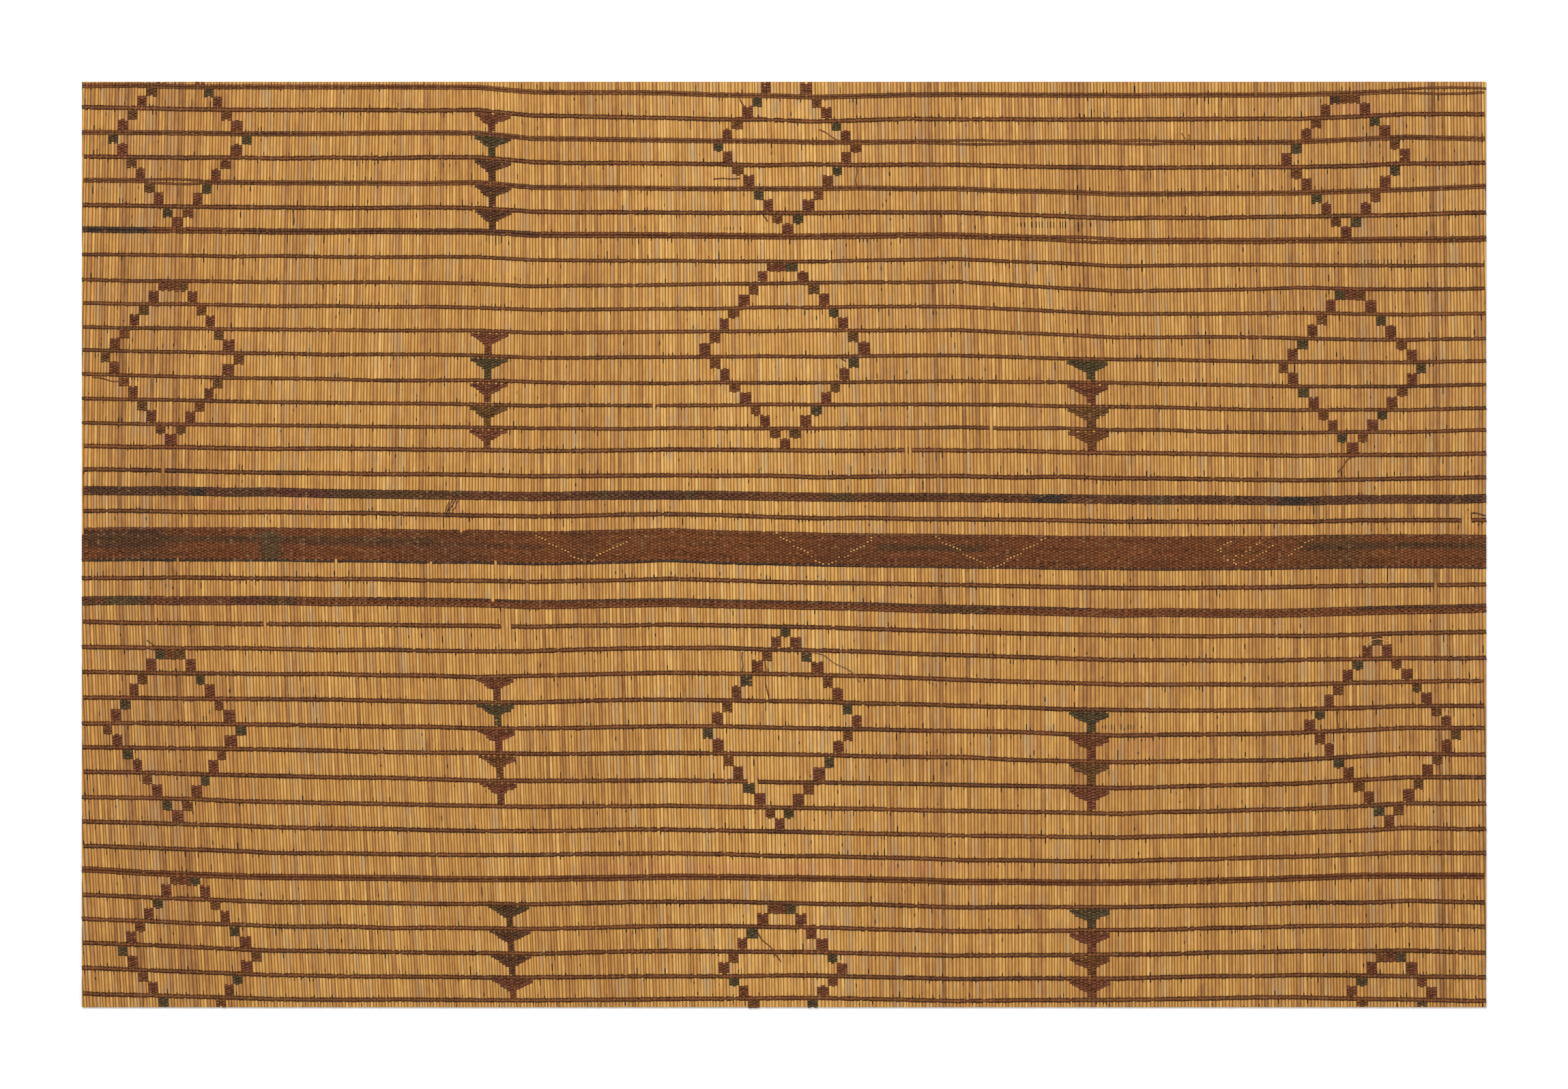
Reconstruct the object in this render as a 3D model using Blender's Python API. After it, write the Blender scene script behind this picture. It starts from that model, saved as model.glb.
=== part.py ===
"""A reed and leather mat: a one metre length of it, lying flat.

The reeds run along Y and lie side by side along X. Lines of thin leather strip cross
them along X. Diamonds and trees are woven from short strips that hang from a line or
stand on it. Sizes are in metres with +Z up, and the origin is the middle of the
underside. Places on the mat are given as a distance across from its left end and a
distance down from its far edge, in millimetres, as a weaver would measure them.
"""

from collections import namedtuple

import bpy
import numpy as np

MM = 0.001

# The layer of reeds
MAT_ACROSS = 1000.0
MAT_DOWN = 659.0
REED_COUNT = 433
REED_PITCH = MAT_ACROSS / REED_COUNT
REED_DEPTH = 2.1

# The leather
STRIP_DEPTH = 0.5
CLEARANCE = 0.3
THIN = 2.2
THICK = 4.0
BAR = 6.3
BAND = 24.3

# Where a block of one line ends and a block of the next begins, as a share of the way, and
# the gap between them, which a tree's stem leaves above the next line too
MEETING = 0.45
MEETING_GAP = 0.4
LINE_SPACING = 17.4

# The line that is the wide band
BAND_LINE = 20

# Each line's height at its left end, in the middle and at its right end, and its width
Line = namedtuple("Line", "left middle right width")
LINES = (
    Line(2.5, 10.0, 6.0, THIN),
    Line(18.5, 27.5, 23.0, THIN),
    Line(36.0, 42.9, 40.5, THIN),
    Line(53.0, 59.0, 57.5, THIN),
    Line(70.0, 76.0, 74.5, THIN),
    Line(88.0, 93.5, 93.0, THIN),
    Line(105.0, 110.0, 111.5, THICK),
    Line(123.2, 128.2, 130.4, THIN),
    Line(141.0, 143.5, 147.5, THIN),
    Line(157.5, 160.9, 165.0, THIN),
    Line(174.5, 177.2, 183.0, THIN),
    Line(191.2, 195.6, 198.9, THIN),
    Line(208.5, 214.0, 215.5, THIN),
    Line(225.6, 230.2, 232.3, THIN),
    Line(242.5, 246.6, 248.1, THIN),
    Line(259.3, 262.5, 264.5, THIN),
    Line(276.0, 281.0, 281.5, THIN),
    Line(291.0, 295.5, 296.5, BAR),
    Line(305.5, 310.0, 312.0, THIN),
    Line(329.5, 332.5, 334.5, BAND),
    Line(353.5, 356.0, 358.0, THIN),
    Line(369.5, 372.5, 375.0, BAR),
    Line(385.0, 388.0, 392.0, THIN),
    Line(402.5, 404.5, 410.0, THIN),
    Line(420.5, 422.0, 427.0, THIN),
    Line(438.5, 441.0, 444.5, THIN),
    Line(456.5, 460.0, 460.0, THIN),
    Line(474.0, 479.0, 479.0, THIN),
    Line(491.0, 499.0, 495.5, THIN),
    Line(509.0, 517.0, 514.0, THIN),
    Line(526.5, 534.0, 532.0, THIN),
    Line(544.0, 551.0, 549.0, THIN),
    Line(561.5, 567.0, 565.5, THICK),
    Line(579.0, 584.5, 584.5, THIN),
    Line(596.0, 602.0, 601.5, THIN),
    Line(613.0, 619.5, 620.0, THIN),
    Line(631.0, 636.5, 638.0, THIN),
    Line(649.0, 652.5, 654.5, THIN),
)
LINE_COUNT = len(LINES)

# How far some of the lines drop below their left end, at each place across
SAG_ACROSS = (0.0, 136.0, 282.0, 321.0, 418.0, 525.0, 622.0, 739.0, 865.0, 943.0, 1000.0)
Sag = namedtuple("Sag", "line drops")
SAGS = (
    Sag(1, (0.0, 1.5, 1.5, 4.9, 6.1, 8.3, 6.6, 7.5, 6.6, 4.1, 3.4)),
    Sag(3, (0.0, 0.8, 0.2, 4.0, 5.4, 6.8, 6.3, 6.8, 6.3, 2.8, 3.8)),
    Sag(5, (0.0, 2.4, 1.9, 5.3, 6.3, 6.3, 6.3, 10.2, 9.2, 6.8, 4.4)),
    Sag(8, (0.0, 0.7, 0.7, 2.5, 2.6, 3.5, 2.1, 7.6, 7.3, 8.8, 8.3)),
    Sag(9, (0.0, 1.5, 2.4, 4.4, 3.4, 1.9, 1.5, 8.3, 6.3, 7.8, 7.3)),
    Sag(13, (0.0, 2.9, 4.4, 5.8, 5.8, 5.3, 4.4, 5.8, 8.3, 8.3, 6.8)),
    Sag(17, (0.0, 2.4, 4.4, 5.3, 4.4, 5.8, 5.3, 6.8, 8.3, 6.8, 5.8)),
    Sag(20, (0.0, 0.2, 2.2, 3.2, 1.0, 4.4, 5.3, 6.8, 5.8, 5.1, 4.9)),
    Sag(22, (0.0, 0.3, 1.8, 3.3, 1.6, 3.8, 6.5, 9.4, 9.3, 7.4, 6.4)),
    Sag(24, (0.0, 1.5, 3.9, 3.4, 1.0, 3.4, 6.6, 9.6, 9.9, 8.5, 7.8)),
    Sag(28, (0.0, 1.5, 4.4, 4.9, 3.6, 5.3, 7.3, 10.7, 8.7, 4.4, 4.9)),
    Sag(32, (0.0, 4.9, 6.6, 6.8, 5.3, 7.3, 9.7, 10.7, 7.5, 4.4, 4.9)),
    Sag(36, (0.0, 5.8, 7.5, 7.8, 5.8, 6.6, 9.2, 8.5, 5.8, 5.6, 6.8)),
    Sag(38, (0.0, 4.4, 5.6, 5.6, 4.9, 3.9, 5.8, 4.9, 2.9, 4.4, 5.3)),
)

# How far apart the reeds lie at places along the band, as a share of the mean
Spacing = namedtuple("Spacing", "across share")
SPACINGS = (
    Spacing(0.0, 0.97),
    Spacing(12.0, 0.94),
    Spacing(35.0, 0.94),
    Spacing(50.0, 1.00),
    Spacing(90.0, 0.98),
    Spacing(160.0, 0.955),
    Spacing(233.0, 0.945),
    Spacing(306.0, 0.955),
    Spacing(355.0, 0.98),
    Spacing(428.0, 1.00),
    Spacing(549.0, 1.04),
    Spacing(646.0, 1.05),
    Spacing(743.0, 1.015),
    Spacing(841.0, 1.00),
    Spacing(889.0, 0.99),
    Spacing(1000.0, 1.00),
)

# How far the reeds lean to the right of where they cross the band, at heights down the mat
LEAN_DOWN = (0.0, 121.5, 209.0, 291.5, 369.0, 452.0, 535.0, 659.0)
Lean = namedtuple("Lean", "across shifts")
LEANS = (
    Lean(0.0, (4.4, 1.9, 0.0, -1.0, 0.0, 3.4, 7.8, 15.1)),
    Lean(209.0, (4.4, 1.9, 0.0, -1.0, 0.0, 3.4, 7.8, 15.1)),
    Lean(291.0, (0.0, 1.2, 0.0, -0.9, 0.0, 2.4, 5.8, 12.1)),
    Lean(500.0, (-6.3, -4.0, -2.3, -0.7, 0.8, 2.3, 3.9, 6.3)),
    Lean(708.0, (-8.7, -5.8, -2.9, -1.5, 0.0, 0.1, 0.3, 0.5)),
    Lean(875.0, (-4.4, -3.4, -1.5, -0.5, 0.0, 0.5, 1.0, 2.9)),
    Lean(1000.0, (-3.4, -1.5, 0.5, 0.0, 0.0, 1.5, 3.4, 5.8)),
)

# Each diamond steps out one block at a time, hanging from a line and standing on the next
# by turns. Its first line is 0 where that lies beyond the cut edge.
BLOCK_REEDS = 3
Diamond = namedtuple("Diamond", "axis first left_reach left_widest right_reach right_widest")
DIAMONDS = (
    Diamond(66.4, 0, 7, 6, 7, 6),
    Diamond(506.3, 0, 7, 6, 7, 6),
    Diamond(904.0, 1, 6, 5, 6, 5),
    Diamond(62.2, 9, 7, 6, 7, 6),
    Diamond(501.4, 8, 8, 7, 8, 7),
    Diamond(905.5, 9, 7, 6, 7, 6),
    Diamond(60.3, 24, 7, 6, 7, 6),
    Diamond(498.8, 23, 8, 8, 7, 7),
    Diamond(921.5, 23, 7, 7, 8, 8),
    Diamond(64.5, 33, 7, 6, 7, 6),
    Diamond(492.9, 34, 6, 5, 6, 5),
    Diamond(929.5, 36, 4, 3, 4, 3),
)

# Each tree is a column of tiers, one hanging from each line from its first to its last. Its
# axis is the middle of its stem, and its tiers span so many reeds on either side of that.
Tree = namedtuple("Tree", "axis first last left_reeds right_reeds")
TREES = (
    Tree(291.4, 2, 6, 5, 5),
    Tree(289.2, 11, 15, 5, 5),
    Tree(294.3, 25, 29, 6, 4),
    Tree(295.5, 34, 37, 6, 5),
    Tree(720.8, 12, 15, 5, 4),
    Tree(719.5, 26, 29, 5, 4),
    Tree(718.3, 34, 37, 5, 4),
)

# A tier grows deeper reed by reed towards its stem: how far below its line it reaches on
# each reed, from the outside in
LEFT_DEPTHS = (2.8, 3.9, 5.0, 6.6, 8.0, 9.1)
RIGHT_DEPTHS = (3.6, 4.8, 6.2, 7.0, 8.4)
STEM_REEDS = 2

# Places where a line's outline has points between its blocks and tiers
OUTLINE_ACROSS = (0.0, 70.0, 136.0, 210.0, 282.0, 321.0, 418.0, 525.0, 622.0, 680.0, 739.0,
                  865.0, 943.0, 1000.0)

LOWER = 1
UPPER = -1

# One toothed stretch of a line's edge, its points running from left to right
Tooth = namedtuple("Tooth", "start end points")

REED_COLOUR = (0.60, 0.37, 0.14)
STRIP_COLOUR = (0.115, 0.050, 0.026)
BAR_COLOUR = (0.060, 0.037, 0.026)
BAND_COLOUR = (0.120, 0.040, 0.024)


def sag(line, across):
    """How far a line has dropped below its left end at a place across."""
    drops = [np.interp(across, SAG_ACROSS, guide.drops) for guide in SAGS]
    return np.interp(line, [guide.line for guide in SAGS], drops)


def centre(line, across):
    """The height of a line's middle at a place across, also for a line beyond an edge."""
    nearest = min(max(line, 1), LINE_COUNT)
    row = LINES[nearest - 1]
    places = (0.0, MAT_ACROSS / 2, MAT_ACROSS)
    heights = (row.left, row.middle, row.right)
    errors = [height - sag(nearest, place) for place, height in zip(places, heights)]
    height = sag(nearest, across) + np.interp(across, places, errors)
    return height + (line - nearest) * LINE_SPACING


def edge(line, across, side):
    """The height of a line's upper or lower edge at a place across."""
    return centre(line, across) + side * LINES[line - 1].width / 2


def meeting(upper_line, across):
    """The height where blocks of a line and of the next one below it meet."""
    above = centre(upper_line, across)
    below = centre(upper_line + 1, across)
    return above + (below - above) * MEETING


def along_reed(place, down):
    """Where the reed that crosses the band at a place has got to at a height."""
    shifts = [np.interp(down, LEAN_DOWN, lean.shifts) for lean in LEANS]
    return place + np.interp(place, [lean.across for lean in LEANS], shifts)


def beside(axis, reeds):
    """The place along the band that lies so many reeds to the right of an axis."""
    halfway = axis + reeds * REED_PITCH / 2
    shares = [spacing.share for spacing in SPACINGS]
    share = np.interp(halfway, [spacing.across for spacing in SPACINGS], shares)
    return axis + reeds * REED_PITCH * share


def inside(down):
    """A height kept within the mat."""
    return min(max(down, 0.0), MAT_DOWN)


def block_tooth(line, side, axis, first_block, last_block):
    """A run of blocks, one against the next, that hangs from a line or stands on it."""
    upper_line = line if side == LOWER else line - 1
    middle = meeting(upper_line, axis) - side * LINE_SPACING / 4
    start = along_reed(beside(axis, (first_block - 0.5) * BLOCK_REEDS), middle)
    end = along_reed(beside(axis, (last_block + 0.5) * BLOCK_REEDS), middle)
    far_start = meeting(upper_line, start) - side * MEETING_GAP / 2
    far_end = meeting(upper_line, end) - side * MEETING_GAP / 2
    points = [
        (start, edge(line, start, side)),
        (start, inside(far_start)),
        (end, inside(far_end)),
        (end, edge(line, end, side)),
    ]
    return Tooth(start, end, points)


def diamond_teeth(diamond, line, side):
    """The blocks of a diamond that are on one side of a line."""
    half_step = 2 * (line - diamond.first) - (0 if side == LOWER else 1)
    left = abs(half_step - diamond.left_widest) - diamond.left_reach
    right = diamond.right_reach - abs(half_step - diamond.right_widest)
    if half_step < 0 or left > right:
        return []
    if half_step == 0 or left == right:
        return [block_tooth(line, side, diamond.axis, left, right)]
    return [block_tooth(line, side, diamond.axis, place, place) for place in (left, right)]


def tier_side(line, axis, lean, depths, side):
    """The steps of a tier on one side of its stem, from the outside in."""
    reeds = [STEM_REEDS / 2 + number for number in range(len(depths), -1, -1)]
    across = [beside(axis, side * away) + lean for away in reeds]
    points = []
    for outer, inner, depth in zip(across, across[1:], depths):
        height = centre(line, (outer + inner) / 2) + depth
        points.append((outer, height))
        points.append((inner, height))
    return points


def tier_tooth(line, tree):
    """One tier of a tree with its stem, whose foot ends just short of the next line."""
    axis = tree.axis
    lean = along_reed(axis, centre(line, axis) + LINE_SPACING / 2) - axis
    left_side = tier_side(line, axis, lean, LEFT_DEPTHS[-tree.left_reeds:], -1)
    right_side = tier_side(line, axis, lean, RIGHT_DEPTHS[-tree.right_reeds:], 1)
    corners = (left_side[-1][0], right_side[-1][0])
    foot = [(across, edge(line + 1, across, UPPER) - MEETING_GAP) for across in corners]
    start = left_side[0][0]
    end = right_side[0][0]
    points = [(start, edge(line, start, LOWER))]
    points += left_side + foot + list(reversed(right_side))
    points.append((end, edge(line, end, LOWER)))
    return Tooth(start, end, points)


def line_teeth(line, side):
    """All the teeth on one side of a line."""
    teeth = []
    for diamond in DIAMONDS:
        teeth += diamond_teeth(diamond, line, side)
    if side == LOWER:
        teeth += [tier_tooth(line, tree) for tree in TREES if tree.first <= line <= tree.last]
    return teeth


def edge_points(line, side):
    """The points of one side of a line's outline, from left to right."""
    teeth = line_teeth(line, side)
    stretches = [(tooth.start, tooth.points) for tooth in teeth]
    for across in OUTLINE_ACROSS:
        if not any(tooth.start <= across <= tooth.end for tooth in teeth):
            stretches.append((across, [(across, edge(line, across, side))]))
    stretches.sort(key=lambda stretch: stretch[0])
    return [point for _, points in stretches for point in points]


def finish(name, colour, roughness):
    """A plain material in one colour."""
    material = bpy.data.materials.new(name)
    material.use_nodes = True
    shader = material.node_tree.nodes["Principled BSDF"]
    shader.inputs["Base Color"].default_value = (*colour, 1.0)
    shader.inputs["Roughness"].default_value = roughness
    shader.inputs["Metallic"].default_value = 0.0
    material.diffuse_color = (*colour, 1.0)
    return material


def reed_sheet(collection):
    """The layer of reeds, one slab from the floor up."""
    bpy.ops.mesh.primitive_cube_add(size=1.0, location=(0.0, 0.0, REED_DEPTH * MM / 2))
    sheet = bpy.context.object
    sheet.name = "reed_sheet"
    sheet.scale = (MAT_ACROSS * MM, MAT_DOWN * MM, REED_DEPTH * MM)
    bpy.ops.object.transform_apply(location=False, rotation=False, scale=True)
    sheet.data.materials.append(finish("reed", REED_COLOUR, 0.55))
    for owner in list(sheet.users_collection):
        owner.objects.unlink(sheet)
    collection.objects.link(sheet)
    return sheet


def leather_line(name, line, colour, collection):
    """A line of leather with its blocks and tiers, a flat outline lying on the reeds."""
    outline = edge_points(line, LOWER) + list(reversed(edge_points(line, UPPER)))
    curve = bpy.data.curves.new(name, "CURVE")
    curve.dimensions = "2D"
    curve.fill_mode = "BOTH"
    curve.extrude = STRIP_DEPTH * MM / 2
    spline = curve.splines.new("POLY")
    spline.points.add(len(outline) - 1)
    for point, (across, down) in zip(spline.points, outline):
        point.co = ((across - MAT_ACROSS / 2) * MM, (MAT_DOWN / 2 - down) * MM, 0.0, 1.0)
    spline.use_cyclic_u = True
    curve.materials.append(finish(name + "_leather", colour, 0.6))
    piece = bpy.data.objects.new(name, curve)
    piece.location.z = (REED_DEPTH + CLEARANCE + STRIP_DEPTH / 2) * MM
    collection.objects.link(piece)
    return piece


def build():
    """Clear the scene and build the mat."""
    for leftover in list(bpy.data.objects):
        bpy.data.objects.remove(leftover, do_unlink=True)
    collection = bpy.data.collections.new("tuareg_mat")
    bpy.context.scene.collection.children.link(collection)
    reed_sheet(collection)
    colours = {THIN: STRIP_COLOUR, THICK: STRIP_COLOUR, BAR: BAR_COLOUR, BAND: BAND_COLOUR}
    for line in range(1, LINE_COUNT + 1):
        name = "band" if line == BAND_LINE else f"row_{line:02d}"
        leather_line(name, line, colours[LINES[line - 1].width], collection)


build()
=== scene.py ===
"""The looks of a reed and leather mat, laid flat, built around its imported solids.

Every reed is a stem of its own and every leather strip is woven over and under them.
Places on the mat are given as a distance across from its left end and a distance down
from its far edge, in millimetres, as a weaver would measure them. A reed is named by its
number, counted from the left where it crosses the wide band.
"""

import logging
import math
from dataclasses import dataclass, field
from enum import Enum
from typing import Any, Iterable, Optional, Sequence, Union

import bpy
import numpy as np
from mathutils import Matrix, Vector


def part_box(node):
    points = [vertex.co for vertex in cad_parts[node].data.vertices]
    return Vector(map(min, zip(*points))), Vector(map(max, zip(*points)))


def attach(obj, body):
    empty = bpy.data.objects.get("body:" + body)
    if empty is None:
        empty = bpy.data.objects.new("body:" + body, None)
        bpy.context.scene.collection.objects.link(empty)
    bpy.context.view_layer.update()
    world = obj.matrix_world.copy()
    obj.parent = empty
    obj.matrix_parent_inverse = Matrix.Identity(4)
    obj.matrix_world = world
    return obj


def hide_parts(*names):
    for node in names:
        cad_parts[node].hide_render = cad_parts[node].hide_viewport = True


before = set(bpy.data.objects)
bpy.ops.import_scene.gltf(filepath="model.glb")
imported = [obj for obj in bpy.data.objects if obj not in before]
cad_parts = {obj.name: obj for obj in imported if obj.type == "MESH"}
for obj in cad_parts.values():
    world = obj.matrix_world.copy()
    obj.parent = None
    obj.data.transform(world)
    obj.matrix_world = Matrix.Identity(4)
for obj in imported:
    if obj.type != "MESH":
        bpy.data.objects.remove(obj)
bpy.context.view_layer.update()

LOG = logging.getLogger("mat")
Array = np.ndarray

MM = 0.001
SHEET_LOW, SHEET_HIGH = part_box("reed_sheet")
MAT_ACROSS = round((SHEET_HIGH[0] - SHEET_LOW[0]) / MM, 1)
MAT_DOWN = round((SHEET_HIGH[1] - SHEET_LOW[1]) / MM, 1)

# The layer of reeds
REED_COUNT = 433
REED_PITCH = MAT_ACROSS / REED_COUNT
REED_HALF_DEPTH = 1.02
REED_MIDDLE = 1.45

# Half the width of a strip: at the edge of a wide line, packed inside it, and on a split thin line
STRIP_HALF = 1.10
PACKED_HALF = 1.22
SPLIT_HALF = 0.85

# How far a twined strip rises from a reed's middle to its side
TWINED_SLANT = 0.18

# Where a block of one line ends and a block of the next begins, as a share of the way
MEETING = 0.45
LINE_SPACING = 17.4
BAND_LINE = 20
BLOCK_REEDS = 3
STEM_REEDS = 2

# How far a patch of other dye fades out at its ends, in mm
PATCH_EDGE = 5.0

# The photograph's frame, whose picture is in the middle of a plain margin
FRAME_WIDTH = 2298
FIELD_LEFT = 120
FIELD_RIGHT = 2178

LOWER, UPPER = 1, -1
TURN = 2 * math.pi


class Dye(Enum):
    """The colours of the leather strips, each as linear red, green and blue."""

    PLAIN = (0.260, 0.094, 0.033)
    RUSSET = (0.240, 0.081, 0.028)
    RED = (0.225, 0.075, 0.034)
    WINE = (0.155, 0.052, 0.033)
    BROWN = (0.225, 0.085, 0.029)
    OLIVE = (0.185, 0.086, 0.029)
    MOSS = (0.128, 0.064, 0.028)
    GREEN = (0.115, 0.079, 0.036)
    UMBER = (0.150, 0.062, 0.029)
    DARK = (0.110, 0.052, 0.028)
    SOOT = (0.052, 0.044, 0.033)
    PALE = (0.950, 0.510, 0.180)
    TAN = (0.330, 0.170, 0.075)


PLAIN, RUSSET, RED, WINE, BROWN, OLIVE, MOSS, GREEN, UMBER, DARK, SOOT, PALE, TAN = Dye


@dataclass(frozen=True)
class Pass:
    """One strip of a line.

    It has an offset below the line's middle, a phase that says whether it tops odd reeds, a
    half width, and a slant: how far it rises from a reed's middle to its side.
    """

    offset: float
    phase: int
    half_width: float = STRIP_HALF
    slant: float = 0.12


class Weight(Enum):
    """How heavy a line is: its height in mm and how many single strips lie between its edges.

    A thin line is one pair of strips twined round the reeds. On others, such a pair lies
    at each edge, which makes the edge straight.
    """

    LIGHT = (3.0, 0)
    THIN = (3.5, 0)
    THICK = (4.4, 0)
    BAR = (6.4, 3)
    BAND = (24.3, 21)

    @property
    def height(self) -> float:
        """The line's height."""
        return self.value[0]

    def passes(self, split: bool) -> list[Pass]:
        """The line's strips, from its top edge down.

        Args:
            split: whether a thin line is two slimmer pairs, which can slide apart.

        Returns:
            The strips.
        """
        thin = self in (Weight.LIGHT, Weight.THIN)
        if thin and not split:
            half = self.height / 2 - TWINED_SLANT
            return [Pass(-0.05, 0, half, TWINED_SLANT), Pass(0.05, 1, half, TWINED_SLANT)]
        half, slant = (SPLIT_HALF, 0.12) if thin else (STRIP_HALF, 0.22)
        edge = self.height / 2 - half
        single = self.value[1]
        step = 2 * edge / (single + 1)
        inner = [Pass(step * (number + 1) - edge, number % 2, PACKED_HALF, 0.02)
                 for number in range(single)]
        pairs = [[Pass(side * edge, phase, half, slant) for phase in (0, 1)] for side in (-1, 1)]
        return [*pairs[0], *inner, *pairs[1]]


LIGHT, THIN, THICK, BAR, BAND = Weight


class Slot(Enum):
    """The material slots, each with a finish of its own."""

    REED = "reed"
    STRIP = "strip_leather"
    BAR = "bar_leather"
    BAND = "band_leather"


@dataclass(frozen=True)
class Line:
    """A line of leather: its height at the left end, in the middle and at the right end."""

    left: float
    middle: float
    right: float
    weight: Weight = Weight.THIN


LINES = tuple(Line(*row) for row in (
    (2.5, 10, 6), (18.5, 27.5, 23), (36, 42.9, 40.5), (53, 59, 57.5), (70, 76, 74.5), (88, 93.5, 93),
    (105, 110, 111.5, THICK), (123.2, 128.2, 130.4, LIGHT), (141, 143.5, 147.5, LIGHT),
    (157.5, 160.9, 165, LIGHT), (174.5, 177.2, 183, LIGHT), (191.2, 195.6, 198.9, LIGHT),
    (208.5, 214, 215.5, LIGHT), (225.6, 230.2, 232.3, LIGHT), (242.5, 246.6, 248.1, LIGHT),
    (259.3, 262.5, 264.5), (276, 281, 281.5), (291, 295.5, 296.5, BAR), (305.5, 310, 312),
    (329.5, 332.5, 334.5, BAND), (353.5, 356, 358), (369.5, 372.5, 375, BAR), (385, 388, 392),
    (402.5, 404.5, 410), (420.5, 422, 427), (438.5, 441, 444.5), (456.5, 460, 460), (474, 479, 479),
    (491, 499, 495.5), (509, 517, 514), (526.5, 534, 532), (544, 551, 549), (561.5, 567, 565.5, THICK),
    (579, 584.5, 584.5), (596, 602, 601.5), (613, 619.5, 620), (631, 636.5, 638), (649, 652.5, 654.5),
))
LINE_COUNT = len(LINES)

# How far a line drops below its left end, at each place of SAG_ACROSS
SAG_ACROSS = (0, 136, 282, 321, 418, 525, 622, 739, 865, 943, 1000)
SAGS = {
    1: (0, 1.5, 1.5, 4.9, 6.1, 8.3, 6.6, 7.5, 6.6, 4.1, 3.4),
    3: (0, 0.8, 0.2, 4, 5.4, 6.8, 6.3, 6.8, 6.3, 2.8, 3.8),
    5: (0, 2.4, 1.9, 5.3, 6.3, 6.3, 6.3, 10.2, 9.2, 6.8, 4.4),
    8: (0, 0.7, 0.7, 2.5, 2.6, 3.5, 2.1, 7.6, 7.3, 8.8, 8.3),
    9: (0, 1.5, 2.4, 4.4, 3.4, 1.9, 1.5, 8.3, 6.3, 7.8, 7.3),
    13: (0, 2.9, 4.4, 5.8, 5.8, 5.3, 4.4, 5.8, 8.3, 8.3, 6.8),
    17: (0, 2.4, 4.4, 5.3, 4.4, 5.8, 5.3, 6.8, 8.3, 6.8, 5.8),
    20: (0, 0.2, 2.2, 3.2, 1, 4.4, 5.3, 6.8, 5.8, 5.1, 4.9),
    22: (0, 0.3, 1.8, 3.3, 1.6, 3.8, 6.5, 9.4, 9.3, 7.4, 6.4),
    24: (0, 1.5, 3.9, 3.4, 1, 3.4, 6.6, 9.6, 9.9, 8.5, 7.8),
    28: (0, 1.5, 4.4, 4.9, 3.6, 5.3, 7.3, 10.7, 8.7, 4.4, 4.9),
    32: (0, 4.9, 6.6, 6.8, 5.3, 7.3, 9.7, 10.7, 7.5, 4.4, 4.9),
    36: (0, 5.8, 7.5, 7.8, 5.8, 6.6, 9.2, 8.5, 5.8, 5.6, 6.8),
    38: (0, 4.4, 5.6, 5.6, 4.9, 3.9, 5.8, 4.9, 2.9, 4.4, 5.3),
}

# How far apart the reeds lie at places along the band, as a share of the mean
SPACINGS = {
    0: 0.97, 12: 0.94, 35: 0.94, 50: 1.00, 90: 0.98, 160: 0.955, 233: 0.945, 306: 0.955, 355: 0.98,
    428: 1.00, 549: 1.04, 646: 1.05, 743: 1.015, 841: 1.00, 889: 0.99, 1000: 1.00,
}

# How far the reeds at some places lean to the right, at each height of LEAN_DOWN
LEAN_DOWN = (0, 121.5, 209, 291.5, 369, 452, 535, 659)
LEANS = {
    0: (4.4, 1.9, 0, -1, 0, 3.4, 7.8, 15.1), 209: (4.4, 1.9, 0, -1, 0, 3.4, 7.8, 15.1),
    291: (0, 1.2, 0, -0.9, 0, 2.4, 5.8, 12.1), 500: (-6.3, -4, -2.3, -0.7, 0.8, 2.3, 3.9, 6.3),
    708: (-8.7, -5.8, -2.9, -1.5, 0, 0.1, 0.3, 0.5), 875: (-4.4, -3.4, -1.5, -0.5, 0, 0.5, 1, 2.9),
    1000: (-3.4, -1.5, 0.5, 0, 0, 1.5, 3.4, 5.8),
}


@dataclass(frozen=True)
class Diamond:
    """A stepped diamond: its axis, where its outline starts and turns, and its dyes.

    A side steps out one block at a time, on the blocks that hang from a line and those that
    stand on the next by turns. The hanging blocks take a side's dyes in turn, and the
    standing ones are red.
    """

    axis: float
    first: int
    left_reach: int
    left_widest: int
    right_reach: int
    right_widest: int
    left: tuple[Dye, ...]
    right: tuple[Dye, ...]
    cap: tuple[Dye, ...] = (RED, BROWN)


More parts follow.
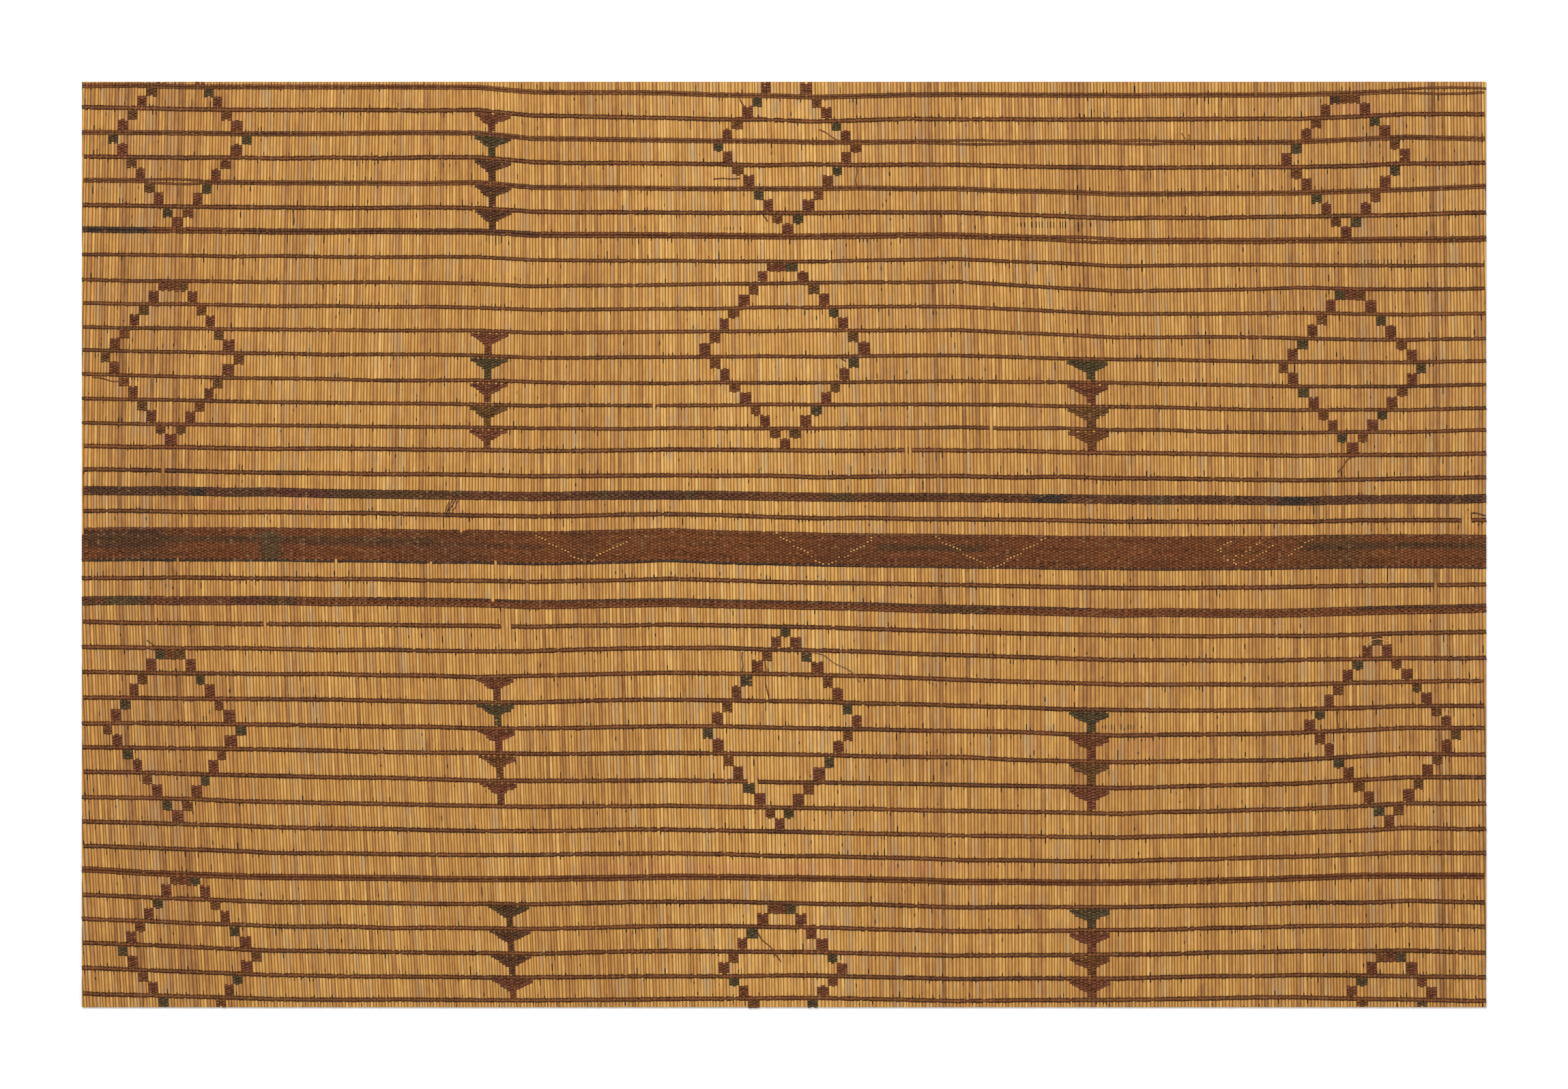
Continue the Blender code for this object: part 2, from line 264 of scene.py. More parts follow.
DIAMONDS = tuple(Diamond(*row) for row in (
    (66.4, 0, 7, 6, 7, 6, (OLIVE, OLIVE, GREEN), (GREEN, BROWN)),
    (506.3, 0, 7, 6, 7, 6, (GREEN, BROWN), (BROWN, GREEN)),
    (904, 1, 6, 5, 6, 5, (BROWN, GREEN), (GREEN, BROWN), (DARK, BROWN, BROWN)),
    (62.2, 9, 7, 6, 7, 6, (OLIVE, BROWN), (BROWN, OLIVE), (RED, BROWN, OLIVE)),
    (501.4, 8, 8, 7, 8, 7, (BROWN,), (OLIVE, GREEN), (RED, RED, GREEN)),
    (905.5, 9, 7, 6, 7, 6, (BROWN, GREEN), (GREEN, BROWN), (GREEN, RED, BROWN)),
    (60.3, 24, 7, 6, 7, 6, (BROWN, GREEN), (GREEN, BROWN), (GREEN, BROWN, OLIVE)),
    (498.8, 23, 8, 8, 7, 7, (BROWN, GREEN), (GREEN, BROWN), (GREEN,)),
    (921.5, 23, 7, 7, 8, 8, (GREEN, BROWN), (BROWN, OLIVE), (OLIVE, BROWN)),
    (64.5, 33, 7, 6, 7, 6, (GREEN, BROWN), (BROWN, GREEN), (BROWN, RED, GREEN)),
    (492.9, 34, 6, 5, 6, 5, (GREEN, BROWN), (RED, GREEN), (BROWN, RED, GREEN)),
    (929.5, 36, 4, 3, 4, 3, (GREEN, BROWN), (RED, GREEN), (BROWN, RED, GREEN)),
))


@dataclass(frozen=True)
class Tree:
    """A column of tiers, one hanging from each line from its first on, with each tier's dye.

    Its axis is the middle of its stem, and its tiers span so many reeds on either side of that.
    """

    axis: float
    first: int
    left_reeds: int
    right_reeds: int
    tiers: tuple[Dye, ...]


TREES = tuple(Tree(*row) for row in (
    (291.4, 2, 5, 5, (RED, GREEN, UMBER, UMBER, UMBER)),
    (289.2, 11, 5, 5, (RED, GREEN, RED, OLIVE, RED)), (294.3, 25, 6, 4, (RED, GREEN, RED, BROWN, RED)),
    (295.5, 34, 6, 5, (MOSS, UMBER, UMBER, RED)), (720.8, 12, 5, 4, (GREEN, RED, OLIVE, BROWN)),
    (719.5, 26, 5, 4, (GREEN, RED, OLIVE, RED)), (718.3, 34, 5, 4, (GREEN, RED, BROWN, RED)),
))

# How far below its line a tier reaches on each reed, from its outside in
LEFT_DEPTHS = (2.8, 3.9, 5.0, 6.6, 8.0, 9.1)
RIGHT_DEPTHS = (3.6, 4.8, 6.2, 7.0, 8.4)


@dataclass(frozen=True)
class Patch:
    """A stretch of a line whose strips took another dye, between two depths below its top edge."""

    line: int
    start: float
    end: float
    dye: Dye
    top: float = 0.0
    bottom: float = 30.0


PATCHES = tuple(Patch(line, *row) for line, rows in {
    7: ((0, 52, SOOT), (52, 110, RUSSET), (110, 330, UMBER), (330, 1000, RUSSET)),
    18: (
        (0, 70, DARK), (72, 91, SOOT), (91, 101, WINE), (101, 132, MOSS), (132, 176, WINE),
        (176, 262, MOSS), (261, 274, GREEN, 0, 4.2), (364, 377, GREEN), (377, 428, DARK),
        (428, 440, GREEN), (528, 550, GREEN), (675, 703, SOOT), (759, 777, GREEN), (850, 879, SOOT),
        (958, 1000, DARK),
    ),
    20: (
        (0, 60, DARK, 2.5, 15), (0, 252.7, MOSS, 5.5, 10.5), (140, 330, UMBER, 9.5, 13),
        (123.9, 143.3, GREEN, 2.5, 24.3), (0, 544.2, SOOT, 23, 24.3), (544.2, 1000, DARK, 23, 24.3),
        (563.6, 646.2, MOSS, 7.5, 12.5), (864.9, 1000, MOSS, 5.5, 10.5),
    ),
    22: (
        (14, 46.2, GREEN), (46.2, 110, RED), (110, 127, WINE), (127, 151, MOSS), (151, 1000, RUSSET),
        (200, 720, DARK, 0, 1.2), (600, 650, MOSS), (905, 1000, DARK, 0, 2.4),
    ),
    33: ((0, 1000, RUSSET),),
}.items() for row in rows)


@dataclass(frozen=True)
class Gap:
    """A place where a line's strips have worn through, between two depths below its top edge."""

    line: int
    start: float
    end: float
    top: float = 0.0
    bottom: float = 30.0


GAPS = tuple(Gap(*row) for row in (
    (16, 585.5, 590.4), (15, 645.3, 650.1), (14, 405.7, 408.2), (17, 56.8, 59.5),
    (20, 268.2, 274.5, 0, 1.8), (23, 128.5, 131), (23, 298.8, 306.1), (29, 473.8, 481), (21, 962, 965),
    (19, 983, 988.8), (20, 63.1, 65.3, 22, 24.3), (20, 67.4, 69.6, 22, 24.3),
    (20, 179.2, 181.3, 22, 24.3), (20, 246.6, 248.8, 22, 24.3), (20, 293.2, 295.3, 22, 24.3),
    (22, 291.2, 293.6, 0, 1.5),
))


@dataclass(frozen=True)
class Slack:
    """A stretch where a line's passes have slid apart, by so many mm at its middle."""

    line: int
    start: float
    end: float
    spread: float


SLACKS = tuple(Slack(*row) for row in (
    (1, 925, 1020, 1.3), (3, 605, 672, 0.5), (3, 730, 780, 0.4), (5, 42, 92, 0.8), (7, 685, 745, 0.5),
))


@dataclass(frozen=True)
class Stroke:
    """A straight row of light dots on the band, one on each reed."""

    start_across: float
    start_down: float
    end_across: float
    end_down: float


STROKES = tuple(Stroke(*row) for row in (
    (324.1, 322.2, 355.7, 341.1), (363, 340.6, 391.2, 325.5), (494.2, 322.2, 528.2, 343.5),
    (533, 343.5, 563.6, 325.5), (608.3, 324.6, 643.8, 345), (650.1, 346, 685.1, 325.5),
    (818.7, 327.5, 809, 333.3), (809, 333.3, 822.1, 344), (820.2, 340.1, 838.2, 327.5),
    (829, 342.6, 847.9, 330.4), (860.1, 337.2, 877, 325.5),
))


@dataclass(frozen=True)
class Strand:
    """A loose end on the reeds: its dye, its width and, by turns, its points across and down."""

    dye: Dye
    width: float
    points: Sequence[float]


STRANDS = tuple(Strand(dye, width, points) for dye, width, *points in (
    (DARK, 0.9, 150.9, 87.5, 150.3, 93, 151.2, 98, 150.6, 102),
    (SOOT, 0.6, 266, 297.5, 264.6, 300.5, 262.2, 303, 260.6, 306, 258.2, 308.4),
    (DARK, 0.6, 263.8, 297.5, 263, 300, 261, 302.6, 260.4, 305.6),
    (SOOT, 0.5, 268.2, 297.8, 266.9, 300.2, 266, 303.4, 263.4, 305.8),
    (UMBER, 0.6, 262, 298, 260.9, 300.8, 259.6, 303, 258.9, 306.2),
    (DARK, 0.5, 265.2, 299, 263.9, 302, 262.9, 304, 261, 307.5, 259.9, 310),
    (DARK, 0.5, 783, 36.5, 784.2, 38.5, 785, 39.6, 785.8, 41),
    (DARK, 0.5, 788, 37.5, 788.6, 39, 788.2, 40.4, 788.5, 42),
    (DARK, 0.5, 785.5, 88.5, 786.3, 90.5, 785.9, 92.4, 786.2, 94.5),
    (BROWN, 0.9, 449.5, 69.4, 456, 68.7, 462, 69.3, 468.9, 68.8),
    (DARK, 0.8, 466.5, 7.3, 468.3, 10.5, 469, 13.8, 471.3, 17),
    (BROWN, 0.8, 551.2, 58.3, 552, 64, 551, 70, 551.8, 75.3),
    (BROWN, 0.8, 524.8, 34, 530, 36.2, 535.5, 40.4, 541.8, 43.7),
    (DARK, 0.8, 483.5, 92.3, 485, 95, 486.5, 96.6, 488.3, 99.6),
    (BROWN, 0.9, 527.2, 197.4, 530.8, 194.6, 536.5, 194.8, 541, 197.2, 544.2, 199.2),
    (BROWN, 0.8, 470.4, 405.7, 470, 410.5, 470.9, 415.5, 470.2, 420.3),
    (BROWN, 0.8, 485.9, 410.6, 487.4, 418, 486.6, 427, 488.8, 437.3),
    (TAN, 0.9, 512.6, 409, 520, 405.8, 529, 408.5, 536, 414.5, 545, 418, 551, 423, 553.9, 427.6),
    (BROWN, 0.9, 481, 605, 484, 611, 490.5, 616, 494, 621.5, 498, 626.8),
    (RED, 0.9, 908.6, 262.4, 904.5, 267, 900.2, 270, 897.8, 274.6, 894.1, 278.4),
    (BROWN, 0.9, 7.3, 210.4, 14, 211, 22, 213.6, 28, 213.2, 34, 214.8),
    (BROWN, 0.8, 46.2, 397.5, 49, 399.6, 51, 400.9, 53.4, 403.3),
    (BROWN, 0.8, 894.4, 447, 893.7, 453, 894.6, 458.5, 894, 464),
    (PALE, 0.8, 913.5, 400.9, 918, 397.6, 924, 396.4, 930.5, 398.2),
    (DARK, 1, 988.8, 307.6, 992, 306.9, 996, 308.1, 999.4, 309),
))


@dataclass(frozen=True)
class Stain:
    """A soft oval place on the reeds: its middle, its size and how strong it is."""

    across: float
    down: float
    width: float
    height: float
    strength: float


# Where dye has bled into the reeds
STAINS = tuple(Stain(*row) for row in (
    (95, 300, 22, 9, 0.55), (160, 299, 34, 12, 0.55), (119, 373, 18, 14, 0.65), (178, 378, 10, 8, 0.5),
    (64, 412, 46, 10, 0.35), (904, 20, 60, 14, 0.6), (500, 560, 420, 12, 0.5), (760, 470, 60, 26, 0.35),
    (268, 305, 16, 12, 0.4), (174.6, 82.2, 3, 3.4, 0.8), (210.6, 78.5, 3, 3.4, 0.8),
    (294, 33, 8, 8, 0.6),
))

# Where the reeds stand apart, with painted shadow in the gaps between them
OPEN_GAPS = tuple(Stain(*row) for row in (
    (694, 101.8, 68, 5.5, 1), (294, 112, 14, 10, 1), (470, 104.5, 40, 3, 0.8), (930, 128, 50, 4, 0.8),
    (740.5, 459.5, 34, 4.5, 1), (732.5, 285, 28, 5, 0.9), (737.5, 479.5, 4, 8, 1), (733, 492, 4, 9, 1),
))


@dataclass
class Loom:
    """Where the lines and the reeds run, worked out from the tables above, in mm.

    Some spare reeds are counted beyond each end. Those of a group differ in width but keep
    their mean.
    """

    spare: int = 12
    group: int = 12
    unevenness: float = 0.17
    seed: int = 5

    def __post_init__(self) -> None:
        """Gives every reed its width and its top's height."""
        rng = np.random.default_rng(self.seed)
        groups = math.ceil((REED_COUNT + 2 * self.spare) / self.group)
        widths = np.clip(rng.normal(1, self.unevenness, (groups, self.group)), 0.62, 1.4)
        widths = (widths / widths.mean(axis=1, keepdims=True)).ravel()
        places = (np.arange(len(widths)) - self.spare) * REED_PITCH
        widths *= np.interp(places, list(SPACINGS), list(SPACINGS.values()))
        widths *= MAT_ACROSS / widths[self.spare:self.spare + REED_COUNT].sum()
        ends = np.cumsum(widths)
        self.widths = widths
        self.middles = ends - ends[self.spare - 1] - widths / 2
        self.lifts = rng.normal(0, 0.05, len(widths))
        self.half_depths = REED_HALF_DEPTH * (1 + rng.normal(0, 0.02, len(widths)))

    def place(self, reeds: Array) -> Array:
        """Where reeds cross the band."""
        return self.middles[np.asarray(reeds) + self.spare]

    def width(self, reeds: Array) -> Array:
        """How wide reeds are."""
        return self.widths[np.asarray(reeds) + self.spare]

    def lift(self, reeds: Array) -> Array:
        """How far reeds lie above the others."""
        return self.lifts[np.asarray(reeds) + self.spare]

    def half_depth(self, reeds: Array) -> Array:
        """Half the thickness of reeds, from underside to top."""
        return self.half_depths[np.asarray(reeds) + self.spare]

    def top(self, reeds: Array) -> Array:
        """The height of reeds' tops."""
        return REED_MIDDLE + self.lift(reeds) + self.half_depth(reeds)

    def nearest(self, place: float) -> int:
        """The number of the reed that crosses the band nearest to a place."""
        return int(np.argmin(np.abs(self.middles - place))) - self.spare

    def sag(self, line: int, across: Array) -> Array:
        """How far a line has dropped below its left end.

        Args:
            line: the line's number.
            across: places across the mat.

        Returns:
            The drop at each place.
        """
        drops = np.array([np.interp(across, SAG_ACROSS, guide) for guide in SAGS.values()])
        lines = list(SAGS)
        upper = min(max(int(np.searchsorted(lines, line, side="right")) - 1, 0), len(lines) - 2)
        share = (line - lines[upper]) / (lines[upper + 1] - lines[upper])
        return drops[upper] + (drops[upper + 1] - drops[upper]) * share

    def centre(self, line: int, across: Array) -> Array:
        """The height of a line's middle, also for a line beyond an edge.

        Args:
            line: the line's number.
            across: places across the mat.

        Returns:
            The height at each place.
        """
        nearest = min(max(line, 1), LINE_COUNT)
        row = LINES[nearest - 1]
        places = np.array((0, MAT_ACROSS / 2, MAT_ACROSS))
        errors = np.array((row.left, row.middle, row.right)) - self.sag(nearest, places)
        height = self.sag(nearest, across) + np.interp(across, places, errors)
        return height + (line - nearest) * LINE_SPACING

    def meeting(self, upper_line: int, across: Array) -> Array:
        """The height where blocks of a line and of the next one below it meet."""
        above = self.centre(upper_line, across)
        return above + (self.centre(upper_line + 1, across) - above) * MEETING

    def along_reed(self, place: Array, down: Array) -> Array:
        """Where the reeds that cross the band at some places have got to at some heights.

        Args:
            place: where each reed crosses the band.
            down: a height for each reed.

        Returns:
            Each reed's place across at its height.
        """
        place, down = np.broadcast_arrays(*(np.atleast_1d(value).astype(float) for value in (place, down)))
        columns = np.array(list(LEANS))
        shifts = np.array([np.interp(down, LEAN_DOWN, lean) for lean in LEANS.values()])
        column = np.clip(np.searchsorted(columns, place) - 1, 0, len(columns) - 2)
        share = np.clip((place - columns[column]) / (columns[column + 1] - columns[column]), 0, 1)
        left, right = (np.take_along_axis(shifts, column[np.newaxis] + step, axis=0)[0] for step in (0, 1))
        return place + left + (right - left) * share

    def cross(self, line: int, reeds: Array, offset: Array) -> tuple[Array, Array]:
        """Where reeds meet a pass of a line.

        Args:
            line: the line's number.
            reeds: the reeds' numbers.
            offset: how far below the line's middle the pass lies on each reed.

        Returns:
            The places across and down.
        """
        place = self.place(reeds)
        across = place
        for _ in range(3):
            down = self.centre(line, across) + offset
            across = self.along_reed(place, down)
        return across, down

    def reed_at(self, across: float, down: float) -> int:
        """The number of the reed at a place."""
        place = across
        for _ in range(4):
            place += across - float(self.along_reed(place, down)[0])
        return self.nearest(place)


LOOM = Loom()


def to_metres(across: Array, down: Array, height: Array) -> Array:
    """Places on the mat as points of the frame, in metres."""
    return np.stack([across - MAT_ACROSS / 2, MAT_DOWN / 2 - down, height], axis=-1) * MM


def wander(rng: np.random.Generator, across: Array, step: float, size: float) -> Array:
    """A slow random drift of some size at places across the mat, with its turns a step apart."""
    knots = np.arange(-step, MAT_ACROSS + 2 * step, step)
    return np.interp(across, knots, rng.normal(0, size, len(knots)))


def deselect_all() -> None:
    """Leaves object mode with nothing selected."""
    if bpy.context.object and bpy.context.object.mode != "OBJECT":
        bpy.ops.object.mode_set(mode="OBJECT")
    bpy.ops.object.select_all(action="DESELECT")


def joined_mesh(name: str, points: Array, corners: Array, sizes: Array) -> bpy.types.Object:
    """Makes one object of many faces.

    Args:
        name: the object's name.
        points: the points, in metres.
        corners: the points' numbers of every face, one face after another.
        sizes: how many corners each face has.

    Returns:
        The new object, shaded smooth.
    """
    mesh = bpy.data.meshes.new(name)
    mesh.vertices.add(len(points))
    mesh.vertices.foreach_set("co", points.astype(np.float32).ravel())
    mesh.loops.add(len(corners))
    mesh.loops.foreach_set("vertex_index", corners.astype(np.int32))
    mesh.polygons.add(len(sizes))
    mesh.polygons.foreach_set("loop_start", np.concatenate([[0], np.cumsum(sizes)[:-1]]).astype(np.int32))
    mesh.update(calc_edges=True)
    mesh.shade_smooth()
    piece = bpy.data.objects.new(name, mesh)
    bpy.context.scene.collection.objects.link(piece)
    return piece


def give_map(piece: bpy.types.Object, places: Array) -> None:
    """Lays the piece's faces out on its own map, one place for each corner of a face."""
    layer = piece.data.uv_layers.new(name="OFBake")
    layer.data.foreach_set("uv", places.astype(np.float32).ravel())


def give_attribute(piece: bpy.types.Object, name: str, values: Array, domain: str = "POINT") -> None:
    """Stores a vector or a colour on every point of a piece, or on every corner of its faces."""
    colour = values.shape[1] == 4
    kind = "FLOAT_COLOR" if colour else "FLOAT_VECTOR"
    attribute = piece.data.attributes.new(name, kind, domain)
    attribute.data.foreach_set("color" if colour else "vector", values.astype(np.float32).ravel())


@dataclass(frozen=True)
class Term:
    """A node's output in an expression: an operator on it adds the Math node that works it out."""

    recipe: "Recipe"
    socket: bpy.types.NodeSocket

    def __add__(self, other: Any) -> "Term":
        """This plus other."""
        return self.recipe.math("ADD", self, other)

    def __sub__(self, other: Any) -> "Term":
        """This less other."""
        return self.recipe.math("SUBTRACT", self, other)

    def __rsub__(self, other: Any) -> "Term":
        """Other less this."""
        return self.recipe.math("SUBTRACT", other, self)

    def __mul__(self, other: Any) -> "Term":
        """This times other."""
        return self.recipe.math("MULTIPLY", self, other)

    __radd__ = __add__
    __rmul__ = __mul__


class Recipe:
    """A material and the nodes that make its finish."""

    def __init__(self, name: str) -> None:
        """Starts a material with a plain Principled shader."""
        self.material = bpy.data.materials.new(name)
        self.material.use_nodes = True
        self.tree = self.material.node_tree
        self.shader = self.tree.nodes["Principled BSDF"]

    def add(self, kind: str, settings: Optional[dict] = None, sockets: Optional[dict] = None,
            output: int = 0) -> Term:
        """Adds a node of any type.

        Args:
            kind: the node's type.
            settings: its settings, such as an operation or a ramp's stops, which are set first.
            sockets: the value or the link of each of its sockets, by name or number.
            output: the number of the output that is wanted.

        Returns:
            That output.
        """
        node = self.tree.nodes.new(kind)
        for name, value in (settings or {}).items():
            if name == "stops":
                self.set_stops(node.color_ramp, value)
            else:
                setattr(node, name, value)
        for name, value in (sockets or {}).items():
            self.feed(node.inputs[name], value)
        return Term(self, node.outputs[output])

    def set_stops(self, ramp: bpy.types.ColorRamp, stops: Sequence[tuple]) -> None:
        """Gives a colour ramp its stops, each a place and a linear colour."""
        while len(ramp.elements) < len(stops):
            ramp.elements.new(1)
        for element, (place, colour) in zip(ramp.elements, stops):
            element.position = place
            element.color = (*colour, 1)

    def feed(self, socket: bpy.types.NodeSocket, value: Any) -> None:
        """Links a term to a socket, or sets the socket's own value."""
        if isinstance(value, Term):
            self.tree.links.new(value.socket, socket)
        elif hasattr(value, "__len__") and socket.type == "RGBA" and len(value) == 3:
            socket.default_value = (*value, 1)
        else:
            socket.default_value = value

    def math(self, operation: str, *terms: Any) -> Term:
        """A Math node on terms and numbers."""
        return self.add("ShaderNodeMath", {"operation": operation}, dict(enumerate(terms)))

    def vector(self, operation: str, *terms: Any, output: int = 0) -> Term:
        """A Vector Math node on terms and vectors."""
        return self.add("ShaderNodeVectorMath", {"operation": operation}, dict(enumerate(terms)), output)

    def mix(self, share: Any, first: Any, second: Any, blend: str = "MIX") -> Term:
        """A mix of two colours."""
        settings = {"data_type": "RGBA", "blend_type": blend, "clamp_factor": True}
        return self.add("ShaderNodeMix", settings, {0: share, 6: first, 7: second}, output=2)

    def ramp(self, value: Any, low: float, high: float) -> Term:
        """A smooth rise from 0 to 1 as a value goes from low to high."""
        sockets = {0: value, 1: low, 2: high, 3: 0, 4: 1}
        return self.add("ShaderNodeMapRange", {"interpolation_type": "SMOOTHSTEP"}, sockets)

    def noise(self, place: Term, scale: Sequence[float], detail: float = 2, rough: float = 0.5) -> Term:
        """Noise with turns about one unit apart, once a place is stretched by a scale."""
        sockets = {"Vector": self.stretch(place, scale), "Scale": 1, "Detail": detail, "Roughness": rough}
        return self.add("ShaderNodeTexNoise", None, sockets)

    def chance(self, place: Term) -> Term:
        """A number from 0 to 1 that differs from place to place without any order."""
        return self.add("ShaderNodeTexWhiteNoise", {"noise_dimensions": "3D"}, {"Vector": place})

    def attribute(self, name: str, output: int) -> Term:
        """A stored attribute: 0 is its colour and 1 its vector."""
        return self.add("ShaderNodeAttribute", {"attribute_name": name}, None, output)

    def place(self) -> Term:
        """The place on the object, in metres."""
        return self.add("ShaderNodeTexCoord", None, None, output=3)

    def stretch(self, place: Term, scale: Sequence[float]) -> Term:
        """A place multiplied by a scale along each axis."""
        return self.vector("MULTIPLY", place, tuple(scale))

    def parts(self, vector: Term) -> tuple[Term, Term, Term]:
        """The three numbers of a vector."""
        first = self.add("ShaderNodeSeparateXYZ", None, {0: vector})
        outputs = first.socket.node.outputs
        return first, Term(self, outputs[1]), Term(self, outputs[2])

    def cell(self, lay: Term, margin: float) -> Term:
        """The part of a reed, or of a gap, between two lines.

        Args:
            lay: the reed's or the gap's number, the number of lines passed and the height.
            margin: what is added to the first number before it is cut off.

        Returns:
            Whole numbers that are the same all over that part.
        """
        number, passed, _ = self.parts(lay)
        sockets = {0: self.math("FLOOR", number + margin), 1: self.math("FLOOR", passed), 2: margin}
        return self.add("ShaderNodeCombineXYZ", None, sockets)

    def spot(self, place: Term, zone: "Stain", full: float, none: float) -> Term:
        """A soft oval on the mat.

        Args:
            place: the place on the object.
            zone: the oval's middle, size and strength.
            full: how far from its middle it keeps its strength, as a share of its half size.
            none: how far from its middle it has faded out.

        Returns:
            Its strength at the place.
        """
        middle = to_metres(*np.array([zone.across, zone.down, 0]))
        away = self.vector("SUBTRACT", place, tuple(float(v) for v in middle))
        scale = (2 / (zone.width * MM), 2 / (zone.height * MM), 0)
        far = self.vector("LENGTH", self.stretch(away, scale), output=1)
        return (1 - self.ramp(far, full, none)) * zone.strength

    def spots(self, place: Term, zones: Iterable["Stain"], full: float, none: float) -> Term:
        """The strongest of some soft ovals."""
        share = 0
        for zone in zones:
            share = self.math("MAXIMUM", share, self.spot(place, zone, full, none))
        return share

    def finish(self, colour: Any, rough: Any, gloss: float, height: Term, strength: float) -> None:
        """Feeds the shader.

        Args:
            colour: its base colour.
            rough: its roughness.
            gloss: how strongly it mirrors.
            height: the height of its fine relief.
            strength: how strong that relief is.
        """
        sockets = {"Strength": strength, "Distance": 0.0003, "Height": height}
        relief = self.add("ShaderNodeBump", None, sockets)
        inputs = {"Base Color": colour, "Roughness": rough, "Specular IOR Level": gloss, "Normal": relief}
        for name, value in inputs.items():
            self.feed(self.shader.inputs[name], value)


@dataclass(frozen=True)
class ReedFinish:
    """Dry reed: golden stems, some grey and some brown, streaked along their length."""

    dark: tuple = (0.140, 0.054, 0.014)
    brown: tuple = (0.340, 0.145, 0.036)
    gold: tuple = (0.530, 0.270, 0.060)
    straw: tuple = (0.710, 0.435, 0.130)
    grey: tuple = (0.450, 0.305, 0.150)
    # Painted shade on a stem's sides and in the gaps between stems
    flank_shade: tuple = (0.350, 0.160, 0.040)
    # Near-black painted shadow in the gaps where stems part
    slit_shadow: tuple = (0.030, 0.012, 0.005)
    stain: tuple = (0.500, 0.150, 0.090)
    roughness: float = 0.55
    gloss: float = 0.30

    def material(self) -> bpy.types.Material:
        """Makes the finish.

        Returns:
            A material that reads each reed's own look from its points.
        """
        recipe = Recipe("dry_reed")
        lay = recipe.attribute("lay", 1)
        tone, weathered, side = recipe.parts(recipe.attribute("look", 1))
        place = recipe.place()
        slow = recipe.noise(lay, (7.31, 0, 0.022))
        quick = recipe.noise(lay, (5.17, 0, 0.110))
        cloud = recipe.noise(place, (30, 30, 0))
        fibre = recipe.noise(place, (2600, 60, 0), 3, 0.6)
        own = recipe.chance(recipe.cell(lay, 0.5))
        value = tone + (slow - 0.5) * 0.5 + (own - 0.5) * 0.26 + (quick - 0.5) * 0.45
        away = recipe.math("ABSOLUTE", side)
        # Its last term is a painted highlight along each stem's ridge and painted shade towards its sides
        value = value + (fibre - 0.5) * 0.40 + (cloud - 0.5) * 0.25 + (0.42 - away) * 0.34
        stops = ((0, self.dark), (0.28, self.brown), (0.60, self.gold), (0.95, self.straw))
        colour = recipe.add("ShaderNodeValToRGB", {"stops": stops}, {0: value})
        patch = recipe.noise(lay, (0.33, 0, 0.035))
        grey_share = recipe.ramp(weathered + (patch - 0.5) * 1.5 + (own - 0.5) * 0.3, 0.08, 0.40) * 0.80
        colour = recipe.mix(grey_share, colour, recipe.mix(value, self.brown, self.grey))
        spot = recipe.noise(place, (1300, 330, 0))
        colour = recipe.mix(recipe.ramp(spot, 0.70, 0.78) * 0.55, colour, self.dark)
        bled = recipe.spots(place, STAINS, 0.3, 1.1) * recipe.ramp(fibre, 0.38, 0.62) * 0.75
        colour = recipe.mix(bled, colour, self.stain)
        # Painted shade on each stem's sides: stronger by chance from gap to gap, stronger still as a
        # painted shadow next to the leather lines, and weaker on grey reeds
        beside = recipe.vector("ADD", lay, recipe.add("ShaderNodeCombineXYZ", None, {
            0: recipe.math("SIGN", side) * 0.5}))
        from_line = recipe.math("PINGPONG", recipe.parts(beside)[1], 0.5)
        loose = recipe.chance(recipe.cell(beside, 0.25))
        depth = recipe.ramp(recipe.noise(beside, (2.13, 0, 0.045)), 0.38, 0.60) * 0.45
        depth = depth + loose * 0.50 + (1 - recipe.ramp(from_line, 0.05, 0.25)) * 0.20 + 0.10
        flank_shade = recipe.ramp(away, 0.10, 0.95) * depth * (0.80 - grey_share * 0.45)
        colour = recipe.mix(flank_shade, colour, self.flank_shade)
        # Near-black painted shadow in short stretches of the gaps, more of it next to the lines and where
        # the reeds stand apart
        near = 1 - recipe.ramp(from_line, 0.05, 0.40)
        opened = recipe.ramp(recipe.noise(beside, (3.77, 0, 0.11), 1) + near * 0.10, 0.69, 0.73)
        zones = recipe.spots(place, OPEN_GAPS, 0.8, 1) * recipe.ramp(loose, 0.40, 0.50)
        slit_shadow = recipe.ramp(away, 0.50, 0.75) * recipe.math("MAXIMUM", opened, zones)
        colour = recipe.mix(slit_shadow, colour, self.slit_shadow)
        recipe.finish(colour, self.roughness + (fibre - 0.5) * 0.25, self.gloss, fibre, 0.35)
        return recipe.material


